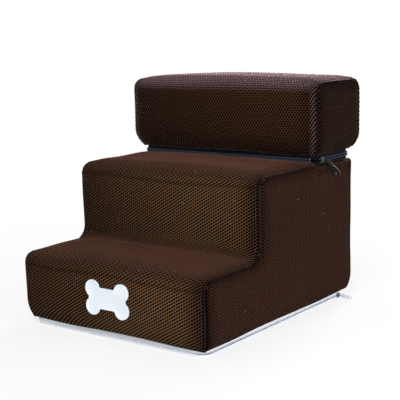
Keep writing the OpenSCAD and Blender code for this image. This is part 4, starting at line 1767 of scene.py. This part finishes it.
@dataclass
class LowerBlock(Block):
    """The lower block: foam, padded cover with two steps, deck, base cloth and badge."""

    form: BlockForm = LOWER
    inner_corner: float = 0.026
    tread_1_z: float = 0.1082
    wall_y1: float = -0.0632
    zip_y: float = 0.093
    deck_thickness: float = 0.003
    deck_corner: float = 0.009
    base_corner: float = 0.013

    def profile(self) -> Profile:
        """The strip's path over riser, tread, riser and tread.

        Returns:
            The path.
        """
        edge, form = self.edge, self.form
        return (Profile(form.wall_y0, form.foot_z, 90)
                .straight(self.tread_1_z - edge - form.foot_z).turn(edge, 90)
                .straight(self.wall_y1 - self.inner_corner - form.wall_y0 - edge)
                .turn(self.inner_corner, -90)
                .straight(form.top_z - edge - self.tread_1_z - self.inner_corner).turn(edge, 90)
                .straight(self.zip_y - 0.0003 - self.wall_y1 - edge))

    def side_outline(self) -> Outline:
        """The stepped outline of a side panel, as rows of y and z.

        Returns:
            The outline.
        """
        form, seam = self.form, COVER_SEAM
        y0, y1, y2 = form.wall_y0 - seam, self.wall_y1 - seam, form.wall_y2 + seam
        z0, z1, z2 = form.foot_z, self.tread_1_z + seam, form.top_z + seam
        turn = self.edge + seam
        inner = self.inner_corner - seam
        corners = [(y0, z0), (y2, z0), (y2, form.top_z)]
        points = [*corners, (self.zip_y, form.top_z), (self.zip_y - 0.01, z2),
                  *arc((y1 + turn, z2 - turn), turn, 90, 180, 8),
                  *arc((y1 - inner, z1 + inner), inner, 0, -90, 10),
                  *arc((y0 + turn, z1 - turn), turn, 90, 180, 8)]
        return Outline(points, [0.0, 1.0, 0.0] + [1.0] * (len(points) - 3), corners)

    def panels(self) -> list[Panel]:
        """The padded panels of the cover.

        Returns:
            The step strip, the sides and the back.
        """
        form, profile = self.form, self.profile()
        nosings = tuple(profile.rows[k][0] + 0.001 for k in (1, -26))
        strip = StripPanel("step_cover", "step_panel", form,
                           Outline.strip(form.half, 0.0, profile.length), LOWER_WEAVE,
                           Padding(crown=0.004), STEP_MESH, profile, level_from=0.35,
                           folds=nosings, pressed=(0.003, 0.065 - form.foot_z, 0.044, 0.03))
        sides = self.side_panels("{}_side", self.side_outline(), LOWER_WALL_WEAVE, SIDE_MESH)
        back = WallPanel("lower_back_cover", "lower_back_panel", form,
                         Outline.strip(form.half, form.foot_z, form.top_z), LOWER_WALL_WEAVE,
                         Padding(crown=0.002), SIDE_MESH, (0.0, form.wall_y2, 0.0),
                         ((-1.0, 0.0, 0.0), (0.0, 0.0, 1.0), (0.0, 1.0, 0.0)))
        return [strip, *sides, back]

    def deck(self) -> Panel:
        """The padded cloth inside the loop of the joining zip.

        Returns:
            The panel.
        """
        low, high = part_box("deck_panel")
        loop = RoundLoop(high.x, low.y, high.y, self.deck_corner, step=0.006)
        outline = Outline(loop.spots, [0.0] * len(loop.spots), [])
        padding = Padding(full=self.deck_thickness - 0.0004, seam=0.0016, edge=0.006, crown=0.0)
        return WallPanel("deck_cover", "deck_panel", self.form, outline, LOWER_WEAVE, padding,
                         STEP_MESH, (0.0, 0.0, low.z),
                         ((1.0, 0.0, 0.0), (0.0, 1.0, 0.0), (0.0, 0.0, 1.0)))

    def base_cloth(self) -> Object:
        """The plain cloth on which the stairs stand, with a turned edge.

        Returns:
            The piece.
        """
        low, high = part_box("base_panel")
        wide, deep, thickness = high - low
        loop = RoundLoop(high.x, low.y, high.y, self.base_corner, step=0.008)
        shape = plate([loop.spots], thickness, thickness / 3, Matrix.Translation((0, 0, low.z)))
        mesh = to_mesh(shape, "base_cloth")
        measure_points(mesh, flat=points_of(mesh))
        piece = put("base_cloth", mesh, self.form.body, BASE_CLOTH, "base_panel")
        return piece

    def seams(self) -> None:
        """The dark line of thread in the groove of each long seam."""
        form = self.form
        z = np.linspace(form.foot_z + self.thread_end, form.top_z - self.thread_end, 60)
        corner = np.column_stack([np.full(60, form.wall_y2 + self.thread_out), z])
        for side, sign in SIDES:
            self.seam(f"step_seam_{side}", sign, self.strip_path(end=0.001, count=260))
            self.seam(f"back_seam_{side}", sign, corner)


@dataclass
class BoneBadge:
    """The moulded badge on the first riser, with a raised rim and a bare face."""

    width: float = 0.080
    lobe: float = 0.013
    waist: float = 0.031
    notch: float = 0.006
    thickness: float = 0.0022
    rim_height: float = 0.0008
    rim_width: float = 0.002
    rim_slope: float = 0.0003
    bevel: float = 0.0004

    def outline(self) -> Points:
        """The bone, from the middle of its right end and turning left.

        Returns:
            The points as rows.
        """
        x, r = self.width / 2 - self.lobe, self.lobe
        end = self.width / 2 - self.notch
        low = math.degrees(math.acos((end - x) / r))
        high = math.degrees(math.asin((self.waist / 2 - r) / r))
        points = np.array([(end, 0.0), *arc((x, r), r, -low, 180 - high, 22),
                           (x / 6, self.waist / 2)])
        left = points[::-1] * (-1, 1)
        return np.vstack([points, left[:-1], left[::-1][1:] * (1, -1),
                          points[::-1][:-1] * (1, -1)])

    def make(self) -> Object:
        """Moulds the badge: a plate whose face is sunk inside the rim.

        Returns:
            The piece.
        """
        low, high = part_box("bone_badge")
        middle = (low + high) / 2
        shape = bmesh.new()
        outline = self.outline()
        made = bmesh.ops.create_circle(shape, cap_ends=True, segments=len(outline), radius=1.0)
        for vert, spot in zip(made["verts"], outline):
            vert.co = (*spot, 0.0)
        bmesh.ops.recalc_face_normals(shape, faces=shape.faces)
        if shape.faces[:][0].normal.z < 0:
            bmesh.ops.reverse_faces(shape, faces=shape.faces)
        verts, face = thicken(shape)
        bmesh.ops.translate(shape, verts=verts, vec=(0, 0, self.thickness + self.rim_height))
        for width, depth in ((self.rim_width, 0.0), (self.rim_slope, -self.rim_height)):
            bmesh.ops.inset_region(shape, faces=face, thickness=width, depth=depth,
                                   use_even_offset=True)
        soften(shape, self.bevel, segments=3, angle=0.5)
        bmesh.ops.transform(shape, verts=shape.verts, matrix=Matrix(
            ((1, 0, 0, middle.x), (0, 0, -1, high.y), (0, 1, 0, middle.z), (0, 0, 0, 1))))
        return put("bone_badge_plate", to_mesh(shape, "bone_badge_plate"), "lower_block",
                   BADGE_PLASTIC, "bone_badge")


@dataclass
class UpperBlock(Block):
    """The upper block: foam, padded cover and the plain cloth below."""

    form: BlockForm = UPPER
    cloth_thickness: float = 0.0016
    cloth_raised: float = 0.026

    def profile(self) -> Profile:
        """The strip's path over front, top and back.

        Returns:
            The path.
        """
        edge, form = self.edge, self.form
        rise = form.top_z - edge - form.foot_z
        return (Profile(form.wall_y0, form.foot_z, 90).straight(rise).turn(edge, 90)
                .straight(form.wall_y2 - form.wall_y0 - 2 * edge).turn(edge, 90)
                .straight(rise))

    def end_outline(self) -> Outline:
        """The outline of an end panel, as rows of y and z.

        Returns:
            The outline.
        """
        form, seam = self.form, COVER_SEAM
        y0, y2, z2 = form.wall_y0 - seam, form.wall_y2 + seam, form.top_z + seam
        turn = self.edge + seam
        corners = [(y0, form.foot_z), (y2, form.foot_z)]
        points = [*corners, *arc((y2 - turn, z2 - turn), turn, 0, 90, 8),
                  *arc((y0 + turn, z2 - turn), turn, 90, 180, 8)]
        return Outline(points, [0.0] + [1.0] * (len(points) - 1), corners)

    def panels(self) -> list[Panel]:
        """The padded panels of the cover.

        Returns:
            The wrap and the two ends.
        """
        profile = self.profile()
        wrap = StripPanel("upper_wrap_cover", "upper_wrap_panel", self.form,
                          Outline.strip(self.form.half, 0.0, profile.length), UPPER_WEAVE,
                          Padding(crown=0.004), WRAP_MESH, profile, level_from=0.06)
        return [wrap, *self.side_panels("upper_{}", self.end_outline(), UPPER_WALL_WEAVE,
                                        END_MESH)]

    def seams(self) -> None:
        """The dark line of thread in the groove of each end seam."""
        for side, sign in SIDES:
            self.seam(f"upper_seam_{side}", sign, self.strip_path(self.thread_end, count=180))

    def bottom_cloth(self) -> Object:
        """The plain cloth below: its node's solid, made finer.

        Returns:
            The piece.
        """
        low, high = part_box("upper_bottom_panel")
        wide, deep, high_edge = high - low
        shape = solid_of("upper_bottom_panel")
        bmesh.ops.subdivide_edges(shape, edges=shape.edges[:], cuts=2, use_grid_fill=True)
        area = sum(face.calc_area() for face in shape.faces) / 2 \
            - (wide + deep) * self.cloth_thickness
        mesh = to_mesh(shape, "upper_bottom_cloth")
        measure_points(mesh, flat=points_of(mesh))
        piece = put("upper_bottom_cloth", mesh, self.form.body, DARK_CLOTH,
                    "upper_bottom_panel")
        return piece


class ZipSide(Enum):
    """The two halves of a zip."""

    BELOW = -1
    ABOVE = 1


@dataclass(frozen=True)
class ZipHalf:
    """One half of a zip: its side, body and nodes, and how high its tape reaches."""

    side: ZipSide
    body: str
    tape: str
    coil: str
    low: float
    high: float


@dataclass
class ZipRun:
    """Tapes, coils and stops of one zip, round a block."""

    halves: tuple[ZipHalf, ZipHalf]
    stops: dict[str, str]
    tape_x: float
    y0: float
    y2: float
    corner: float
    z: float
    slit: float
    coil: float
    pitch: float
    coil_from: Spot
    coil_to: Spot
    tape_finish: Finish
    coil_finish: Finish
    tape_t: float = 0.0008
    tape_fold: float = 0.00018
    wave: float = 0.0001
    coil_gap: float = 0.0001
    turns: int = 8
    wire_share: float = 0.26
    core_share: float = 0.6
    hooked: float = 0.00008
    stop_round: float = 0.0004

    def tape(self, half: ZipHalf) -> Object:
        """One woven tape, with a folded edge and a slight wave.

        Args:
            half: The half of the zip it belongs to.

        Returns:
            The piece.
        """
        t, h, c = self.tape_t / 2, (half.high - half.low) / 2, self.tape_fold
        loop = RoundLoop(self.tape_x - t, self.y0 + t, self.y2 - t, self.corner - t, 0.004)
        centres, across = loop.rows((half.low + half.high) / 2)
        section = np.array([(t, -h + c), (t, h - c), (t - c, h), (c - t, h), (-t, h - c),
                            (-t, -h + c), (c - t, -h), (t - c, -h)])
        centres = centres + across * unevenness(centres, seed=11, size=self.wave)[:, None]
        name = f"{half.tape}_ribbon"
        mesh = sweep(name, section, centres, across, upwards(len(centres)), True)
        return put(name, mesh, half.body, self.tape_finish, half.tape)

    def wire(self, half: ZipHalf) -> Object:
        """One coil: a cord with a wire wound round it, from stop to slider.

        The two coils mesh along the way, and leave the slit open on the slider's run.

        Args:
            half: The half of the zip it belongs to.

        Returns:
            The piece.
        """
        out, side = self.coil + self.coil_gap, half.side.value
        loop = RoundLoop(self.tape_x + out, self.y0 - out, self.y2 + out, self.corner + out,
                         self.pitch / self.turns)
        centres, across = loop.rows(self.z + side * (self.slit / 2 + self.coil))
        first, last = (int(np.argmin(np.hypot(*(centres[:, :2] - end).T)))
                       for end in (self.coil_from, self.coil_to))
        count = len(centres)
        order = np.arange(first, first + (last - first) % count + 1) % count
        centres, across, up = centres[order], across[order], upwards(len(order))
        turn = np.arange(len(order))[:, None] * 2 * math.pi / self.turns
        out_from = across * np.cos(turn) + up * np.sin(turn)
        meet = (self.slit / 4 + self.hooked) * share(self.tape_x - centres[:, :1], 0.006, 0.03)
        radius = self.wire_share * self.coil
        helix = centres + out_from * (self.coil - radius) + up * meet * (np.sin(turn) - side)
        wound = sweep("wire", ring(radius, 4), helix, out_from,
                      np.cross(directions(helix, False), out_from), False)
        core = sweep("core", ring(self.core_share * self.coil, 6), centres[::16],
                     across[::16], up[::16], False)
        name = f"{half.coil}_wire"
        mesh = to_mesh(joined([taken_up(wound), taken_up(core)]), name, 1.4)
        return put(name, mesh, half.body, self.coil_finish, half.coil)

    def stop(self, node: str, body: str) -> Object:
        """Crimped stops in the place of a node's blocks: one, or one at each end where the node is
        tall.

        Args:
            node: The node it replaces.
            body: The body it rides on.

        Returns:
            The piece.
        """
        low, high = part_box(node)
        size = 2 * self.coil
        spans = [(low.z, high.z)]
        if high.z - low.z > 1.5 * size:
            spans = [(low.z, low.z + size), (high.z - size, high.z)]
        parts = []
        side = (high.x - low.x) / 3 * 0.9
        for z0, z1 in spans:
            parts += [rounded_block((low.x, low.y, z0), (high.x, high.y, z1),
                                    self.stop_round),
                      rounded_block((low.x + side, low.y - 0.00012, z0 + 0.0003),
                                    (high.x - side, high.y, z1 - 0.0003), 0.0002)]
        name = f"{node}_crimp"
        return put(name, to_mesh(joined(parts), name), body, ZIP_METAL, node)

    def make(self) -> None:
        """Makes both tapes and both coils."""
        for half in self.halves:
            self.tape(half)
            self.wire(half)


@dataclass
class ZipSlider:
    """A slider with two plates, neck, lips and bail, and its pull."""

    name: str
    run: ZipRun
    y: float
    length: float
    height: float
    plate_t: float
    bail_r: float
    bail_h: float
    bail_w: float
    pull_l: float
    pull_w: float
    pull_t: float
    pull_turn: float
    body_finish: Finish
    pull_finish: Finish
    gap: float = 0.0003

    @property
    def place(self) -> Vector:
        """Where the slider is on its tape."""
        return Vector((self.run.tape_x, self.y, self.run.z))

    @property
    def front(self) -> float:
        """Distance of the front plate from the tape's outer face."""
        return self.run.coil_gap + 2 * self.run.coil + self.gap

    @property
    def bar(self) -> float:
        """Distance of the bail's bar from the tape's outer face."""
        return self.front + self.plate_t + self.bail_h - self.bail_r

    def outline(self, trim: float) -> Points:
        """A slider plate: a square back and a narrower nose, in y and z.

        Args:
            trim: How much is taken off all round.

        Returns:
            The points as rows.
        """
        a, b = self.length / 2 - trim, self.height / 2 - trim
        nose = self.length / 8
        top = np.array([*arc((a - 2 * nose, b - 2 * nose), 2 * nose, 0, 90, 4),
                        (-a + 2 * nose, b), *arc((-a + nose, b - nose), nose, 100, 170, 3),
                        (-a, b * 0.35)])
        return np.vstack([top, top[::-1] * (1, -1)])

    def make(self) -> Object:
        """Makes the slider in its node's place.

        Returns:
            The piece.
        """
        t, front, nose = self.plate_t, self.front, -self.length / 2
        neck = self.run.slit - 0.0004
        back = -self.run.tape_t - self.gap - t
        trim = 0.22 * self.height
        sideways = Matrix(((0, 0, 1, 0), (1, 0, 0, 0), (0, 1, 0, 0), (0, 0, 0, 1)))
        parts = [plate([self.outline(cut)], thick, bevel,
                       Matrix.Translation((x, 0, 0)) @ sideways, steps)
                 for x, cut, thick, bevel, steps in ((back, 0.0, t, 0.3 * t, 3),
                                                     (front, 0.0, t, 0.3 * t, 3),
                                                     (front + t, trim, 0.25 * t, 0.12 * t, 2))]
        parts.append(rounded_block(
            (back + 0.5 * t, nose + 0.0003, -neck / 2),
            (front + 0.5 * t, nose + self.length / 4, neck / 2), 0.00015))
        for middle in (-(self.height - t) / 2, (self.height - t) / 2):
            parts.append(rounded_block(
                (self.gap, nose + self.length / 8, middle - t / 2),
                (front + t * 0.7, self.length / 2 - 0.0004, middle + t / 2), 0.3 * t))
        shape = joined([*parts, self.bail()])
        bmesh.ops.translate(shape, verts=shape.verts, vec=self.place)
        name = f"{self.name}_zip_slider_body"
        return put(name, to_mesh(shape, name), f"{self.name}_slider", self.body_finish,
                   f"{self.name}_zip_slider")

    def bail(self) -> BMesh:
        """The arch that holds the pull: two legs with round shoulders and a bar.

        Returns:
            The arch as a bmesh.
        """
        w, r = self.bail_w / 2, self.bail_r
        bend = 1.3 * r
        half = [(self.front + 0.5 * self.plate_t, w),
                *arc((self.bar - bend, w - bend), bend, 90, 0, 5)]
        path = np.array([(x, y, 0.0) for x, y in half] + [(x, -y, 0.0) for x, y in half[::-1]])
        return taken_up(cord("bail", path, r, 10))

    def pull_outlines(self) -> list[Points]:
        """The pull's outline, and those of the hole at its tip and of its eye.

        Returns:
            The outlines, each as rows.
        """
        hole = self.bail_r + self.gap
        eye = hole + 1.6 * self.bail_r
        tip, neck = self.pull_w / 2, 0.275 * self.pull_w
        end, flare = self.pull_l - self.pull_w / 2, 2.5 * eye
        open_to = math.degrees(math.asin(min(1.0, neck / eye)))
        side = [(flare + 0.001, tip), (flare - 0.001, tip * 0.93), (eye * 1.25, neck * 1.06)]
        outer = [*arc((end, 0), tip, -90, 90, 14), *side,
                 *arc((0, 0), eye, open_to + 4, 356 - open_to, 16),
                 *((x, -y) for x, y in side[::-1])]
        return [np.array(outer), np.array(arc((end, 0), tip / 2, 0, 345, 23)),
                np.array(arc((0, 0), hole, 0, 337.5, 15))]

    def pull(self) -> Object:
        """The pull: an eye, a neck that widens, a raised rim and a hole at the tip.

        Returns:
            The piece.
        """
        t, tip = self.pull_t, self.pull_w / 2
        turned = Matrix.Translation(self.place + Vector((self.bar, 0, 0))) \
            @ Matrix.Rotation(self.pull_turn, 4, "Y")
        upright = turned @ Matrix(((1, 0, 0, 0), (0, 0, 1, -0.5 * t), (0, 1, 0, 0),
                                   (0, 0, 0, 1)))
        parts = [plate(self.pull_outlines(), t * 0.84, t * 0.22,
                       upright @ Matrix.Translation((0, 0, 0.08 * t)), 3)]
        line = np.array([(*spot, 0.0)
                         for spot in arc((self.pull_l - tip, 0), tip * 0.8, 0, 350, 35)])
        for side in (0.1, 0.9):
            bead = taken_up(cord("rim", line, 0.16 * t, 6, closed=True))
            bmesh.ops.transform(bead, verts=bead.verts,
                                matrix=upright @ Matrix.Translation((0, 0, side * t)))
            parts.append(bead)
        name = f"{self.name}_zip_pull_tab"
        return put(name, to_mesh(joined(parts), name), f"{self.name}_pull", self.pull_finish,
                   f"{self.name}_zip_pull")


def joining_zip() -> ZipSlider:
    """The black zip between the two blocks.

    Returns:
        Its slider, which knows the zip's run.
    """
    run = ZipRun(
        halves=(ZipHalf(ZipSide.BELOW, "lower_block", "join_zip_lower_tape",
                        "join_zip_lower_coil", low=0.2282, high=0.2347),
                ZipHalf(ZipSide.ABOVE, "upper_block", "join_zip_upper_tape",
                        "join_zip_upper_coil", low=0.2383, high=0.2448)),
        stops={"join_zip_lower_stop": "lower_block", "join_zip_upper_stop": "upper_block"},
        tape_x=0.1676, y0=0.093, y2=0.1981, corner=0.010, z=0.2365, slit=0.0012, coil=0.0012,
        pitch=0.0016, coil_from=(0.1689, 0.1163), coil_to=(0.1576, 0.0917),
        tape_finish=BLACK_TAPE, coil_finish=GREY_NYLON)
    return ZipSlider(
        "join", run, y=0.110, length=0.012, height=0.0086, plate_t=0.001, bail_r=0.0008,
        bail_h=0.0044, bail_w=0.0064, pull_l=0.034, pull_w=0.0105, pull_t=0.0016,
        pull_turn=math.radians(42), body_finish=DARK_METAL, pull_finish=BLACK_ENAMEL)


def base_zip() -> ZipSlider:
    """The white zip round the hem of the lower block.

    Returns:
        Its slider, which knows the zip's run.
    """
    run = ZipRun(
        halves=(ZipHalf(ZipSide.BELOW, "lower_block", "base_zip_floor_tape",
                        "base_zip_floor_coil", low=0.0004, high=0.0043),
                ZipHalf(ZipSide.ABOVE, "lower_block", "base_zip_cover_tape",
                        "base_zip_cover_coil", low=0.0071, high=0.0108)),
        stops={"base_zip_stops": "lower_block"},
        tape_x=0.1616, y0=-0.1921, y2=0.1921, corner=0.014, z=0.0057, slit=0.001, coil=0.0009,
        pitch=0.0014, coil_from=(-0.1476, 0.1931), coil_to=(0.1626, 0.1781),
        tape_finish=WHITE_TAPE, coil_finish=WHITE_NYLON)
    return ZipSlider(
        "base", run, y=0.1721, length=0.010, height=0.0068, plate_t=0.0008, bail_r=0.0006,
        bail_h=0.0032, bail_w=0.0046, pull_l=0.022, pull_w=0.0068, pull_t=0.0012,
        pull_turn=math.radians(4), body_finish=ZIP_METAL, pull_finish=WHITE_ENAMEL)


# Studio


@dataclass
class Studio:
    """Floor, light and camera."""

    azimuth: float = 37.41
    elevation: float = 10.77
    roll: float = -1.58
    distance: float = 1.594
    aim: Place = (0.0, 0.0, 0.15)
    focal: float = 1015.8
    middle: Spot = (192.3, 216.5)
    picture: float = 400.0
    sensor: float = 36.0
    level: float = 0.42
    lamps: tuple[tuple[str, Place, float, float, Place], ...] = (
        ("key", (0.55, -1.4, 1.4), 0.8, 20.0, (1.0, 0.98, 0.96)),
        ("back", (-0.2, 2.3, 0.9), 0.8, 46.0, (1.0, 0.97, 1.0)),
        ("right", (1.9, -0.4, 0.4), 0.5, 18.0, (1.0, 0.98, 1.0)))

    def camera(self) -> None:
        """Places the camera at the photograph's angle."""
        az, el, turn = (math.radians(v) for v in (self.azimuth, self.elevation, self.roll))
        back = Vector((math.sin(az) * math.cos(el), -math.cos(az) * math.cos(el), math.sin(el)))
        right = Vector((math.cos(az), math.sin(az), 0.0))
        up = back.cross(right)
        across = right * math.cos(turn) + up * math.sin(turn)
        rise = up * math.cos(turn) - right * math.sin(turn)
        data = bpy.data.cameras.new("camera")
        data.sensor_width = self.sensor
        data.lens = self.focal / self.picture * self.sensor
        data.shift_x = (self.picture / 2 - self.middle[0]) / self.picture
        data.shift_y = (self.middle[1] - self.picture / 2) / self.picture
        camera = in_scene("camera", data)
        camera.matrix_world = Matrix.Translation(Vector(self.aim) + back * self.distance) \
            @ Matrix((across, rise, back)).transposed().to_4x4()
        bpy.context.scene.camera = camera

    def floor(self) -> None:
        """A wide pale floor, which keeps a soft shadow and fades to white behind it."""
        shape = bmesh.new()
        bmesh.ops.create_grid(shape, x_segments=8, y_segments=8, size=6.0)
        mesh = to_mesh(shape, "floor")
        mesh.materials.append(PALE_FLOOR.material())
        in_scene("floor", mesh)

    def world(self) -> None:
        """A white surround: 1 to the camera and in reflections, softer as light."""
        world = bpy.data.worlds.new("studio")
        bpy.context.scene.world = world
        world.use_nodes = True
        bench = Bench(world.node_tree)
        rays = bench.add("ShaderNodeLightPath").outputs
        seen = bench.math("MAXIMUM", rays["Is Camera Ray"], bench.math(
            "MAXIMUM", rays["Is Glossy Ray"], rays["Is Transmission Ray"]))
        ground = world.node_tree.nodes["Background"]
        ground.inputs["Color"].default_value = (1.0, 1.0, 1.0, 1.0)
        bench.tree.links.new(bench.rescale(seen, 0.0, 1.0, self.level, 1.0),
                             ground.inputs["Strength"])

    def make(self) -> None:
        """Sets up the studio, with soft square lamps that look at the middle of the stairs."""
        self.camera()
        self.floor()
        self.world()
        for name, place, size, power, colour in self.lamps:
            data = bpy.data.lights.new(name, "AREA")
            data.size, data.energy, data.color = size, power, colour
            lamp = in_scene(name, data)
            lamp.location = place
            lamp.rotation_euler = (Vector(place) - Vector(self.aim)).to_track_quat(
                "Z", "Y").to_euler()
        bpy.context.scene.view_settings.view_transform = "Standard"


def main() -> None:
    """Builds the stairs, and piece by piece."""
    logging.basicConfig(level=logging.INFO, format="%(name)s: %(message)s")
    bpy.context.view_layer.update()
    Studio().make()
    lower, upper = LowerBlock(), UpperBlock()
    panels = lower.panels() + upper.panels()
    simulation = CoverSimulation()
    for panel in panels:
        simulation.add(panel)
    simulation.run()
    for panel in [*panels, lower.deck()]:
        panel.make()
    lower.cut_foam("lower_foam", "lower_foam_core")
    upper.cut_foam("upper_foam", "upper_foam_core")
    lower.base_cloth()
    lower.seams()
    upper.seams()
    upper.bottom_cloth()
    BoneBadge().make()
    sliders = joining_zip(), base_zip()
    for slider in sliders:
        slider.run.make()
        slider.make()
    for slider in sliders:
        slider.pull()
    for slider in sliders:
        for node, body in slider.run.stops.items():
            slider.run.stop(node, body)


if __name__ == "__main__":
    main()
